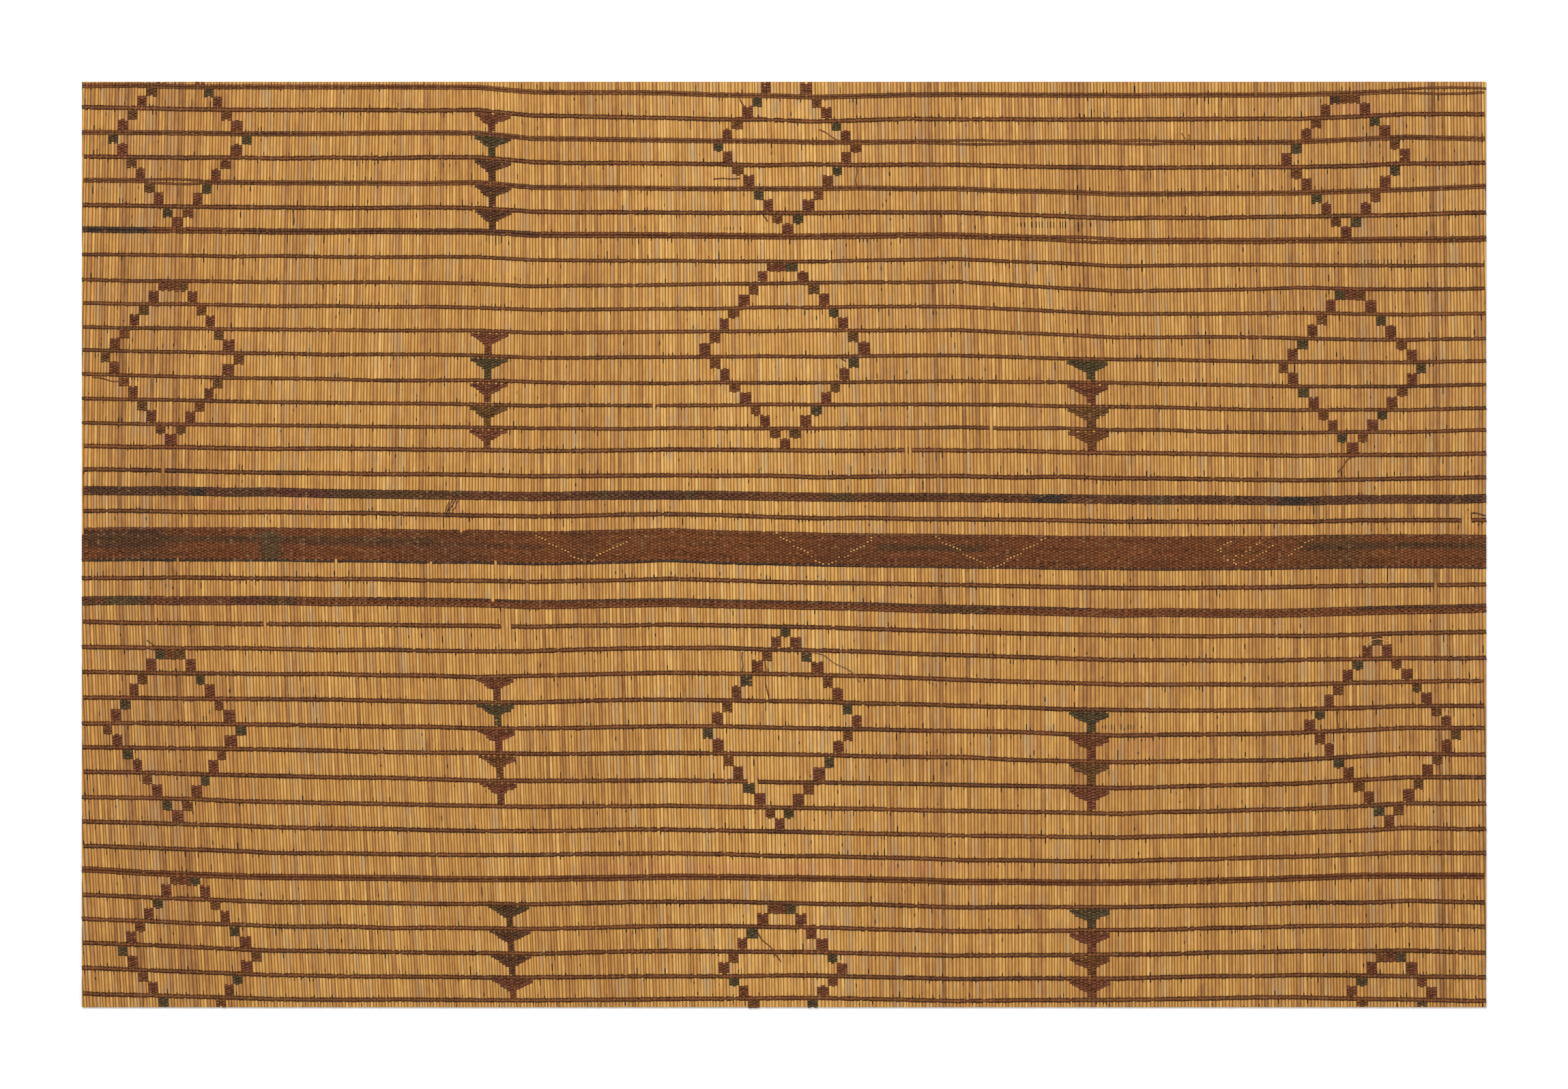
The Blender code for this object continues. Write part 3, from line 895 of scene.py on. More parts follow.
@dataclass(frozen=True)
class LeatherFinish:
    """Thin worn leather, matt, dyed strip by strip."""

    name: str
    worn: tuple = (0.320, 0.160, 0.075)
    wear: float = 0.25
    # The strengths of the painted shade where a strip turns down between reeds, and of the painted shade
    # in diagonal stripes for the twist of its strands
    turn: float = 0.5
    twist_shade: float = 0.12
    grain: float = 0.4
    roughness: float = 0.75
    gloss: float = 0.12

    def material(self) -> bpy.types.Material:
        """Makes the finish.

        Returns:
            A material that reads each strip's dye from its points.
        """
        recipe = Recipe(self.name)
        dye = recipe.attribute("dye", 0)
        place = recipe.place()
        mottle = recipe.noise(place, (900, 900, 900), 3, 0.6)
        fine = recipe.noise(place, (3200, 3200, 3200), 2, 0.6)
        mottle_tone = recipe.ramp(mottle, 0.25, 0.75)
        along, over, _ = recipe.parts(recipe.attribute("step", 1))
        # Painted shade where each step of a strip turns down between reeds, and in diagonal stripes for
        # the twist of its strands; the mottle is the leather's own tone, and all of them darken the dye
        # towards one colour
        turn_shade = recipe.ramp(recipe.math("ABSOLUTE", along), 0.45, 1) * self.turn
        twist_shade = recipe.math("SINE", along * TURN + over * 2) * self.twist_shade + self.twist_shade
        tone_and_painted_shade = recipe.math("MAXIMUM", (1 - mottle_tone) * 0.8, turn_shade) + twist_shade
        colour = recipe.mix(tone_and_painted_shade, dye, recipe.mix(1, dye, (0.50, 0.47, 0.45), "MULTIPLY"))
        rubbed = recipe.ramp(mottle * 0.6 + fine * 0.4, 0.52, 0.70) * self.wear
        colour = recipe.mix(rubbed, colour, self.worn)
        relief = mottle * 0.5 + fine * 0.5
        recipe.finish(colour, self.roughness + (fine - 0.5) * 0.3, self.gloss, relief, self.grain)
        return recipe.material


FINISHES = {
    Slot.REED: ReedFinish(),
    Slot.STRIP: LeatherFinish("strip_leather_worn"),
    # Packed strips get weaker painted shade at their turns and in their twist stripes
    Slot.BAR: LeatherFinish("bar_leather_worn", wear=0.20, turn=0.12, twist_shade=0.04),
    Slot.BAND: LeatherFinish("band_leather_worn", wear=0.22, turn=0.12, twist_shade=0.04),
}


@dataclass
class Wardrobe:
    """The materials, each made once."""

    made: dict[Slot, bpy.types.Material] = field(default_factory=dict)

    def dress(self, piece: bpy.types.Object, slot: Slot) -> None:
        """Gives a piece the finish of its slot."""
        if slot not in self.made:
            self.made[slot] = FINISHES[slot].material()
        piece.data.materials.clear()
        piece.data.materials.append(self.made[slot])


@dataclass
class ReedLayer:
    """The layer of reeds, each a round stem with its own lean, thickness and colour."""

    sides: int = 8
    rings: int = 23
    fullness: float = 1.06
    spare: int = 10
    seed: int = 11
    rows_of_map: int = 3
    sway: float = 0.05
    swell: float = 0.02
    # How much lighter the reeds are painted in the middle of the mat, as painted light
    painted_light_bow: float = 0.11
    brown_share: float = 0.05

    def stem(self) -> bpy.types.Object:
        """Models one straight stem of unit size along Y, with rings along its length.

        Returns:
            The stem, whose points run from -0.5 to 0.5 along Y.
        """
        deselect_all()
        bpy.ops.mesh.primitive_cylinder_add(vertices=self.sides, radius=1, depth=1,
                                            end_fill_type="NGON", rotation=(math.pi / 2, 0, 0))
        stem = bpy.context.object
        bpy.ops.object.transform_apply(location=False, rotation=True, scale=False)
        for part in (*stem.data.polygons, *stem.data.vertices):
            part.select = False
        points = [vertex.co for vertex in stem.data.vertices]
        for edge in stem.data.edges:
            edge.select = abs(points[edge.vertices[0]].y - points[edge.vertices[1]].y) > 0.5
        bpy.context.tool_settings.mesh_select_mode = (False, True, False)
        bpy.ops.object.mode_set(mode="EDIT")
        bpy.ops.mesh.subdivide(number_cuts=self.rings - 2)
        bpy.ops.object.mode_set(mode="OBJECT")
        return stem

    def ring_heights(self, reeds: Array) -> tuple[Array, Array]:
        """The heights of every reed's rings, at its two ends, on every other line and beside the band.

        Args:
            reeds: the reeds' numbers.

        Returns:
            The heights, a row for each reed, and the same as numbers of lines.
        """
        place = LOOM.place(reeds)
        lines = sorted((*range(2, LINE_COUNT + 1, 2), BAND_LINE - 1, BAND_LINE + 1))
        all_reeds = np.ones(len(reeds))
        heights = [0 * all_reeds, *(LOOM.centre(line, place) for line in lines), MAT_DOWN * all_reeds]
        counts = [1 - LOOM.centre(1, place) / LINE_SPACING, *(line * all_reeds for line in lines),
                  LINE_COUNT + (MAT_DOWN - LOOM.centre(LINE_COUNT, place)) / LINE_SPACING]
        return np.array(heights).T, np.array(counts).T

    def looks(self, rng: np.random.Generator, reeds: Array) -> Array:
        """Each reed's tone and how weathered it is.

        Args:
            rng: the source of chance.
            reeds: the reeds' numbers.

        Returns:
            Two numbers for each reed.
        """
        place = LOOM.place(reeds)
        tone = rng.normal(0.47, 0.07, len(reeds)) + wander(rng, place, 60, 0.04)
        # Painted light: reeds lighter in the middle of the mat across and darker towards its ends
        tone += self.painted_light_bow * np.sin(np.pi * np.clip(place / MAT_ACROSS, 0, 1)) ** 0.8
        tone -= 0.25 * (LOOM.width(reeds) / REED_PITCH - 1)
        tone[rng.random(len(reeds)) < self.brown_share] -= 0.16
        weathered = rng.normal(0, 0.11, len(reeds)) + wander(rng, place, 9, 0.07)
        return np.stack([tone, weathered], axis=1)

    def build(self) -> bpy.types.Object:
        """Lays the stem once for every reed and cuts the layer to the mat's ends.

        Returns:
            The layer of reeds, one mesh.
        """
        rng = np.random.default_rng(self.seed)
        stem = self.stem()
        shape = np.array([vertex.co for vertex in stem.data.vertices])
        faces = [list(polygon.vertices) for polygon in stem.data.polygons]
        bpy.data.objects.remove(stem, do_unlink=True)

        reeds = np.arange(-self.spare, REED_COUNT + self.spare)
        place = LOOM.place(reeds)
        ends = [LOOM.along_reed(place, np.full(len(reeds), down)) for down in LEAN_DOWN]
        shown = (np.max(ends, axis=0) > -0.8) & (np.min(ends, axis=0) < MAT_ACROSS + 0.8)
        reeds, place = reeds[shown], place[shown]
        heights, counts = self.ring_heights(reeds)

        steps = np.linspace(0, 1, heights.shape[1])
        along = 0.5 - shape[:, 1]
        down = np.array([np.interp(along, steps, row) for row in heights])
        count = np.array([np.interp(along, steps, row) for row in counts])
        across = LOOM.along_reed(np.repeat(place, len(shape)), down.ravel()).reshape(down.shape)
        ring = np.round(along * (len(steps) - 1)).astype(int)
        sway = rng.normal(0, self.sway, heights.shape)[:, ring]
        swell = 1 + rng.normal(0, self.swell, heights.shape)[:, ring]
        half_width = LOOM.width(reeds)[:, None] * self.fullness / 2 * swell
        height = REED_MIDDLE + LOOM.lift(reeds)[:, None] + shape[:, 2] * LOOM.half_depth(reeds)[:, None]
        points = to_metres(across + sway + shape[:, 0] * half_width, down, height)

        corners = np.concatenate([np.array(face) for face in faces])
        sizes = np.array([len(face) for face in faces])
        offsets = np.arange(len(reeds)) * len(shape)
        layer = joined_mesh("reeds", points.reshape(-1, 3), (corners + offsets[:, None]).ravel(),
                            np.tile(sizes, len(reeds)))
        own = self.looks(rng, reeds)
        lay = np.stack([np.repeat(reeds, len(shape)).astype(float), count.ravel(), down.ravel()], axis=1)
        give_attribute(layer, "lay", lay)
        # Where each point lies across its stem, which places the painted highlight and the painted shade
        side = np.tile(shape[:, 0], len(reeds))[:, None]
        give_attribute(layer, "look", np.concatenate([np.repeat(own, len(shape), axis=0), side], axis=1))
        give_map(layer, self.map_places(shape, faces, len(reeds)))
        self.cut(layer)
        layer.data.shade_flat()
        return layer

    def map_places(self, shape: Array, faces: list[list[int]], number: int) -> Array:
        """Lays the stems side by side in rows, with the turn of a stem as a narrow column.

        Args:
            shape: the stem's points.
            faces: the stem's faces.
            number: how many stems there are.

        Returns:
            A place for each corner of a face.
        """
        columns = math.ceil(number / self.rows_of_map)
        angle = np.arctan2(shape[:, 2], shape[:, 0])
        turn, length = [], []
        for face in faces:
            middle = shape[face].mean(axis=0)
            towards = math.atan2(middle[2], middle[0])
            if len(face) > 4:
                turn.append(0.5 + shape[face, 0] * 0.2)
                length.append(0.5 - np.sign(middle[1]) * (0.493 + shape[face, 2] * 0.004))
                continue
            bend = (angle[face] - towards + math.pi) % TURN - math.pi
            full = (towards + bend - math.pi / 2) % TURN
            middle_turn = (towards - math.pi / 2) % TURN
            full = np.where(full - middle_turn > math.pi, full - TURN, full)
            full = np.where(middle_turn - full > math.pi, full + TURN, full)
            turn.append(full / TURN)
            length.append(0.5 - shape[face, 1] * 0.97)
        stems = np.arange(number)
        left = (stems % columns)[:, None] + (0.04 + 0.92 * np.concatenate(turn))
        top = (stems // columns)[:, None] + np.concatenate(length)
        return np.stack([left / columns, top / self.rows_of_map], axis=-1).reshape(-1, 2)

    def cut(self, layer: bpy.types.Object) -> None:
        """Cuts the layer flush at the mat's left and right ends."""
        deselect_all()
        layer.select_set(True)
        bpy.context.view_layer.objects.active = layer
        bpy.ops.object.mode_set(mode="EDIT")
        for side in (-1, 1):
            bpy.ops.mesh.select_all(action="SELECT")
            bpy.ops.mesh.bisect(plane_co=(side * MAT_ACROSS * MM / 2, 0, 0), plane_no=(side, 0, 0),
                                use_fill=False, clear_outer=True)
            bpy.ops.mesh.select_all(action="SELECT")
            bpy.ops.mesh.fill_holes(sides=0)
        bpy.ops.object.mode_set(mode="OBJECT")
        deselect_all()


@dataclass
class Strips:
    """Leather strips gathered one by one and then joined into one piece.

    A strip is a low three-sided ribbon: two edges and a crown. Its map is one row of cells,
    a cell for each step from point to point.
    """

    name: str
    painted_shading: tuple[float, float, float]
    points: list[Array] = field(default_factory=list)
    colours: list[Array] = field(default_factory=list)
    counts: list[int] = field(default_factory=list)

    def add(self, across: Array, down: Array, height: Array, half_width: Array,
            crown: Array, colour: Array) -> None:
        """Adds a strip.

        Args:
            across: its points' places across, in mm.
            down: their places down.
            height: the height of its underside at each.
            half_width: half its width at each.
            crown: how thick it is at each.
            colour: its linear colour at each.
        """
        if len(across) < 2:
            return
        ahead = np.stack([np.gradient(across), -np.gradient(down)])
        ahead /= np.maximum(np.hypot(*ahead), 1e-9)
        left = to_metres(across - ahead[1] * half_width, down - ahead[0] * half_width, height)
        right = to_metres(across + ahead[1] * half_width, down + ahead[0] * half_width, height)
        top = to_metres(across, down, height + crown)
        self.points.append(np.stack([left, top, right], axis=1))
        # Painted shade along a strip's two edges and a painted highlight along its crown
        painted_shading = np.array(self.painted_shading)[None, :, None]
        self.colours.append((colour[:, None, :] * painted_shading).reshape(-1, 3))
        self.counts.append(len(across))

    def join(self) -> bpy.types.Object:
        """Joins the strips.

        Returns:
            One closed mesh for each strip, all in one object.
        """
        corners, sizes, start = [], [], 0
        for count in self.counts:
            here = start + 3 * np.arange(count - 1)[:, None]
            sides = [np.concatenate([here + a, here + b, here + 3 + b, here + 3 + a], axis=1)
                     for a, b in ((0, 1), (1, 2), (2, 0))]
            last = start + 3 * (count - 1)
            corners.append(np.concatenate([np.stack(sides, axis=1).ravel(), [start, start + 2, start + 1],
                                           [last, last + 1, last + 2]]))
            sizes.append(np.concatenate([np.full(3 * (count - 1), 4), [3, 3]]))
            start += 3 * count
        points = np.concatenate(self.points).reshape(-1, 3)
        piece = joined_mesh(self.name, points, np.concatenate(corners), np.concatenate(sizes))
        colours = np.concatenate(self.colours)
        give_attribute(piece, "dye", np.concatenate([colours, np.ones((len(colours), 1))], axis=1))
        give_map(piece, self.map_places())
        give_attribute(piece, "step", self.shares(), "CORNER")
        return piece

    def shares(self) -> Array:
        """Where each corner of a face lies along its step and across its strip, from -1 to 1."""
        along = (-1, -1, 1, 1) * 3
        over = (-1, 0, 0, -1, 0, 1, 1, 0, 1, -1, -1, 1)
        step = np.array([along, over, np.zeros(12)]).T
        return np.concatenate([np.concatenate([np.tile(step, (count - 1, 1)), np.zeros((6, 3))])
                               for count in self.counts])

    def map_places(self) -> Array:
        """Lays the steps of all strips out in rows of cells of about one shape.

        Returns:
            A place for each corner of a face.
        """
        total = sum(count - 1 for count in self.counts)
        columns = math.ceil(math.sqrt(total * 2.6))
        rows = math.ceil(total / columns)
        places, cell = [], 0
        for count in self.counts:
            cells = cell + np.arange(count - 1)
            left, row = cells % columns, cells // columns
            quads = []
            for side in range(3):
                low, high = 0.05 + side * 0.3, 0.35 + side * 0.3
                quads.append(np.stack([np.stack([left, left, left + 1, left + 1], axis=1) / columns,
                                       (row[:, None] + np.array([low, high, high, low])) / rows], axis=-1))
            places.append(np.stack(quads, axis=1).reshape(-1, 2))
            for end, shift in ((0, 0), (-1, 0.7)):
                corner = np.array([[shift, 0.05], [shift, 0.65], [shift + 0.3, 0.35]])
                places.append((corner + (left[end], row[end])) / (columns, rows))
            cell += count - 1
        return np.concatenate(places)


@dataclass
class Weaver:
    """Weaves strips over and under the reeds, with the small unevenness of hand work.

    A strip lies flat for its reach on either side of a reed's middle, a little clear of its
    top, or at the height of under. An end is tucked in beside its reed.
    """

    strips: Strips
    rng: np.random.Generator
    crown: float
    reach: float = 0.49
    clear: float = 0.02
    under: float = 0.10
    under_share: float = 0.80
    under_crown: float = 0.22
    bare_share: float = 0.70
    tuck: float = 0.52
    tuck_height: float = REED_MIDDLE - 0.3
    tuck_half: float = 0.4
    tuck_crown: float = 0.3
    margin: tuple[float, float] = (0.4, 0.5)
    straying: float = 0.06
    slant_spread: float = 0.08
    crown_spread: float = 0.15

    def weave(self, line: int, reeds: Array, strip: Pass, shift: Array, colour: Array,
              bare: float = 0, ends: bool = False) -> None:
        """Takes one strip through a run of reeds.

        Args:
            line: the line that it belongs to.
            reeds: the reeds' numbers, from left to right.
            strip: the strip.
            shift: how much further below the line's middle it lies on each reed.
            colour: its linear colour on each reed.
            bare: the share of reeds that it covers only in part.
            ends: whether each end is tucked down beside its reed.
        """
        straying = self.rng.normal(0, self.straying, len(reeds))
        across, down = LOOM.cross(line, reeds, strip.offset + shift + straying)
        kept = (np.abs(across - MAT_ACROSS / 2) < MAT_ACROSS / 2 - self.margin[0])
        kept &= (np.abs(down - MAT_DOWN / 2) < MAT_DOWN / 2 - self.margin[1])
        if not kept.any():
            return
        reeds, across, down, colour = reeds[kept], across[kept], down[kept], colour[kept]
        is_over = (reeds + strip.phase) % 2 == 0
        slope = np.gradient(down) / np.gradient(across) if len(down) > 1 else np.zeros(1)
        slant = self.rng.normal(strip.slant, self.slant_spread, len(reeds)) * np.where(is_over, 1, -1)
        half = strip.half_width * np.clip(self.rng.normal(1, self.straying, len(reeds)), 0.8, 1.2)
        half = np.where(self.rng.random(len(reeds)) < bare, half * self.bare_share, half)
        half = np.where(is_over, half, strip.half_width * self.under_share)
        top = LOOM.top(reeds) + self.clear
        height = np.where(is_over, top + self.rng.normal(0, self.clear, len(reeds)), self.under)
        thick = self.crown * np.clip(self.rng.normal(1, self.crown_spread, len(reeds)), 0.6, 1.4)
        thick = np.where(is_over, thick, self.under_crown)
        aside = self.reach * LOOM.width(reeds)
        x = np.stack([across - aside, across + aside], axis=1).ravel()
        y = np.stack([down - slope * aside + slant, down + slope * aside - slant], axis=1).ravel()
        z, w, c = (np.repeat(values, 2) for values in (height, half, thick))
        rgb = np.repeat(colour, 2, axis=0)
        if ends:
            tuck = self.tuck * REED_PITCH
            x, y, z, w, c = (np.concatenate([[first], middle, [last]]) for first, middle, last in (
                (across[0] - tuck, x, across[-1] + tuck), (y[0], y, y[-1]),
                (self.tuck_height, z, self.tuck_height), (self.tuck_half, w, self.tuck_half),
                (self.tuck_crown, c, self.tuck_crown)))
            rgb = np.concatenate([rgb[:1], rgb, rgb[-1:]])
        self.strips.add(np.clip(x, 0, MAT_ACROSS), np.clip(y, 0, MAT_DOWN), z, w, c, rgb)

    def colours(self, dye: Dye, number: int) -> Array:
        """A dye with a little chance in it, once for each reed."""
        return np.array(dye.value) * np.clip(self.rng.normal(1, 0.13, (number, 1)), 0.55, 1.7)


@dataclass
class Leather:
    """A piece of leather strips in a material slot, with its own source of chance."""

    name: str
    seed: int
    slot: Slot = Slot.STRIP
    lines: list[int] = field(default_factory=list)

    def __post_init__(self) -> None:
        """Starts it with no strips."""
        self.rng = np.random.default_rng(self.seed)
        packed = self.slot is not Slot.STRIP
        # Packed strips get fainter painted shade at their edges and a fainter painted highlight on their
        # crown
        self.strips = Strips(self.name, (0.94, 1.05, 0.94) if packed else (0.86, 1.12, 0.86))
        self.weaver = Weaver(self.strips, self.rng, 0.09 if packed else 0.16)

    def nodes(self) -> list[str]:
        """The solids that it stands for, or whose teeth it does."""
        return ["band" if line == BAND_LINE else f"row_{line:02d}" for line in sorted(set(self.lines))]

    def weave(self) -> None:
        """Adds its strips, each kind of piece in its own way."""

    def build(self) -> bpy.types.Object:
        """Makes the piece from its strips."""
        self.weave()
        return self.strips.join()


@dataclass
class LineLeather(Leather):
    """The strips of some whole lines, from end to end of the mat."""

    spare: int = 8
    bare: float = 0.03
    dot_clear: float = 0.14
    dot_crown: float = 0.22

    def base_colours(self, line: int, across: Array) -> Array:
        """A line's colour before its patches: its plain dye, drifting towards others."""
        start = {BAND: RUSSET, BAR: UMBER}.get(LINES[line - 1].weight, PLAIN)
        colour = np.tile(np.array(start.value), (len(across), 1))
        for dye, size in ((RUSSET, 0.25), (RED, 0.3), (OLIVE, 0.25), (DARK, 0.25)):
            share = np.clip(wander(self.rng, across, 45, size), 0, 0.8)[:, None]
            colour = colour + (np.array(dye.value) - colour) * share
        return colour

    def patch(self, line: int, depth: float, across: Array, colour: Array) -> Array:
        """Lays the patches of other dye over a strip's colour.

        Args:
            line: the line's number.
            depth: how far below the line's top edge the strip lies.
            across: the reeds' places.
            colour: the colour on each reed.

        Returns:
            The new colours.
        """
        for patch in PATCHES:
            if patch.line != line or not patch.top <= depth <= patch.bottom:
                continue
            reach = np.minimum(across - patch.start, patch.end - across)
            reach = reach + self.rng.normal(0, 1.5, len(across))
            share = np.clip(reach / PATCH_EDGE, 0, 1) * self.rng.uniform(0.65, 0.95, len(across))
            colour = colour + (np.array(patch.dye.value) - colour) * share[:, None]
        return colour

    def light_dots(self, passes: Sequence[Pass]) -> dict[int, set[int]]:
        """Which reeds carry a light dot on each strip of the band."""
        dots: dict[int, set[int]] = {}
        for stroke in STROKES:
            steps = max(int(abs(stroke.end_across - stroke.start_across) / REED_PITCH) + 1, 4)
            for share in np.linspace(0, 1, steps):
                across = stroke.start_across + share * (stroke.end_across - stroke.start_across)
                down = stroke.start_down + share * (stroke.end_down - stroke.start_down)
                reed = LOOM.reed_at(across, down)
                offset = down - float(LOOM.centre(BAND_LINE, np.array(across)))
                topping = [number for number, strip in enumerate(passes) if (reed + strip.phase) % 2 == 0]
                nearest = min(topping, key=lambda number: abs(passes[number].offset - offset))
                dots.setdefault(nearest, set()).add(reed)
        return dots

    def weave(self) -> None:
        """Weaves every pass of every line."""
        reeds = np.arange(-self.spare, REED_COUNT + self.spare)
        place = LOOM.place(reeds)
        for line in self.lines:
            weight = LINES[line - 1].weight
            passes = weight.passes(any(slack.line == line for slack in SLACKS))
            drift = wander(self.rng, place, 35, 0.22)
            dots = self.light_dots(passes) if line == BAND_LINE else {}
            base = self.base_colours(line, place)
            columns = self.rng.random(len(reeds)) ** 3 * (0.30 if weight in (BAND, BAR) else 0.10)
            across = LOOM.cross(line, reeds, np.zeros(len(reeds)))[0]
            for number, strip in enumerate(passes):
                depth = strip.offset + weight.height / 2
                shift = math.copysign(1, strip.offset) * self.spread(line, across) + drift
                colour = self.patch(line, depth, across, base)
                streak = self.rng.normal(1, 0.06) + wander(self.rng, place, 14, 0.12)[:, None]
                colour = colour * np.clip(streak + self.rng.normal(0, 0.08, (len(reeds), 1)), 0.6, 1.7)
                rubbed = (self.rng.random(len(reeds)) < columns) * self.rng.uniform(0.2, 0.65, len(reeds))
                colour = colour + (np.array(TAN.value) - colour) * rubbed[:, None]
                self.dot(line, sorted(dots.get(number, ())), strip)
                for run in self.runs(line, depth, across):
                    self.weaver.weave(line, reeds[run], strip, shift[run], colour[run], self.bare)

    def dot(self, line: int, reeds: Sequence[int], strip: Pass) -> None:
        """Lays a small light stitch on each of some reeds, over a strip of the line."""
        for reed in reeds:
            colour = np.array([PALE.value]) * self.rng.uniform(0.65, 1.1)
            across, down = LOOM.cross(line, np.array([reed]), np.array([strip.offset]))
            reach = np.array([-0.62, -0.45, 0.45, 0.62])
            height = LOOM.top(reed) + self.dot_clear + np.array([-0.2, 0, 0, -0.2])
            half = np.array([0.4, 0.62, 0.62, 0.4])
            self.strips.add(across + reach, down - 0.25 * reach, height, half, np.full(4, self.dot_crown),
                            np.repeat(colour, 4, axis=0))

    def spread(self, line: int, across: Array) -> Array:
        """How far a line's strips have slid from its middle at each place."""
        spread = np.zeros(len(across))
        for slack in SLACKS:
            if slack.line == line:
                share = np.clip((across - slack.start) / (slack.end - slack.start), 0, 1)
                spread += slack.spread * np.sin(np.pi * share) ** 2
        return spread

    def runs(self, line: int, depth: float, across: Array) -> list[Array]:
        """The unbroken stretches of a strip, between the gaps that have worn in it."""
        whole = np.ones(len(across), dtype=bool)
        for gap in GAPS:
            if gap.line == line and gap.top <= depth <= gap.bottom:
                whole &= (across < gap.start) | (across > gap.end)
        edges = np.flatnonzero(np.diff(whole.astype(int))) + 1
        return [run for run in np.split(np.arange(len(across)), edges) if whole[run[0]]]


@dataclass
class MotifLeather(Leather):
    """The short dyed strips of some diamonds or trees."""

    motifs: Sequence[Union[Diamond, Tree]] = ()
    pass_pitch: float = 0.98
    first_pass: float = 0.15
    bare: float = 0.08
    overhang: float = 0.25
    foot_overlap: float = 0.2
    raggedness: float = 0.08

    def weave(self) -> None:
        """Weaves every diamond or tree."""
        for motif in self.motifs:
            if isinstance(motif, Diamond):
                self.diamond(motif)
            else:
                self.tree(motif)

    def block(self, line: int, side: int, axis: float, place: int, dye: Dye) -> None:
        """Weaves a block three reeds wide, hanging from a line or standing on it.

        Args:
            line: the line's number.
            side: LOWER where it hangs and UPPER where it stands.
            axis: its diamond's axis.
            place: how many blocks it lies to the right of the axis.
            dye: its dye.
        """
        middle = LOOM.nearest(axis) + place * BLOCK_REEDS
        reeds = np.arange(middle - BLOCK_REEDS // 2, middle + BLOCK_REEDS // 2 + 1)
        upper_line = line if side == LOWER else line - 1
        across = LOOM.along_reed(LOOM.place(np.array([middle])), LOOM.centre(line, np.array([axis])))
        depth = abs(float(LOOM.meeting(upper_line, across)[0] - LOOM.centre(line, across)[0]))
        start = LINES[line - 1].weight.height / 2 + self.pass_pitch * self.first_pass
        self.lines.append(line)
        for number, offset in enumerate(np.arange(start, depth, self.pass_pitch)):
            held = min(offset, depth - STRIP_HALF + self.overhang)
            self.row(line, reeds, Pass(side * held, number % 2), np.zeros(len(reeds)), dye)

    def diamond(self, diamond: Diamond) -> None:
        """Weaves all the blocks of a diamond."""
        last = 2 * (LINE_COUNT + 1 - diamond.first)
        for step in range(last + 1):
            hangs = step % 2 == 0
            line = diamond.first + step // 2 if hangs else diamond.first + (step + 1) // 2
            left = abs(step - diamond.left_widest) - diamond.left_reach
            right = diamond.right_reach - abs(step - diamond.right_widest)
            if left > right or not 1 <= line <= LINE_COUNT:
                continue
            side = LOWER if hangs else UPPER
            if step == 0:
                for place in range(left, right + 1):
                    share = (place - left) / (right - left + 1)
                    self.block(line, side, diamond.axis, place, diamond.cap[int(share * len(diamond.cap))])
                continue
            turn = step // 2 - 1
            left_dye = diamond.left[turn % len(diamond.left)] if hangs else RED
            right_dye = diamond.right[turn % len(diamond.right)] if hangs else RED
            self.block(line, side, diamond.axis, left, left_dye)
            if right != left:
                self.block(line, side, diamond.axis, right, right_dye)

    def tree(self, tree: Tree) -> None:
        """Weaves the tiers of a tree, each narrowing in steps to its stem."""
        for number, dye in enumerate(tree.tiers):
            line = tree.first + number
            self.lines.append(line)
            below = min(line + 1, LINE_COUNT)
            across = np.array([tree.axis])
            height = LOOM.centre(line + 1, across)[0] - LOOM.centre(line, across)[0]
            foot = height - LINES[below - 1].weight.height / 2 + self.foot_overlap
            first = LOOM.nearest(tree.axis - REED_PITCH / 2)
            right_depths = reversed(RIGHT_DEPTHS[-tree.right_reeds:])
            depths = np.array([*LEFT_DEPTHS[-tree.left_reeds:], *[foot] * STEM_REEDS, *right_depths])
            reeds = np.arange(len(depths)) + first - tree.left_reeds
            depths += self.rng.normal(0, 0.25, len(depths))
            offset = THIN.height / 2 + self.pass_pitch * self.first_pass
            count = 0
            while offset < foot:
                reached = np.flatnonzero(depths > offset - STRIP_HALF * 0.5)
                if len(reached) == 0:
                    break
                run = np.arange(reached[0], reached[-1] + 1)
                held = np.minimum(0, depths[run] - STRIP_HALF + self.overhang - offset)
                self.row(line, reeds[run], Pass(offset, (count + first) % 2), held, dye)
                offset += self.pass_pitch
                count += 1

    def row(self, line: int, reeds: Array, strip: Pass, held: Array, dye: Dye) -> None:
        """Weaves one pass of a block or a tier.

        Args:
            line: the line that the motif hangs from or stands on.
            reeds: the reeds that the pass covers.
            strip: the pass.
            held: how far it is held back from its place on each reed.
            dye: its dye.
        """
        colour = self.weaver.colours(dye, len(reeds)) * self.rng.normal(1, 0.06)
        ragged = self.rng.normal(0, self.raggedness, len(reeds))
        self.weaver.weave(line, reeds, strip, held + ragged, colour, self.bare, True)


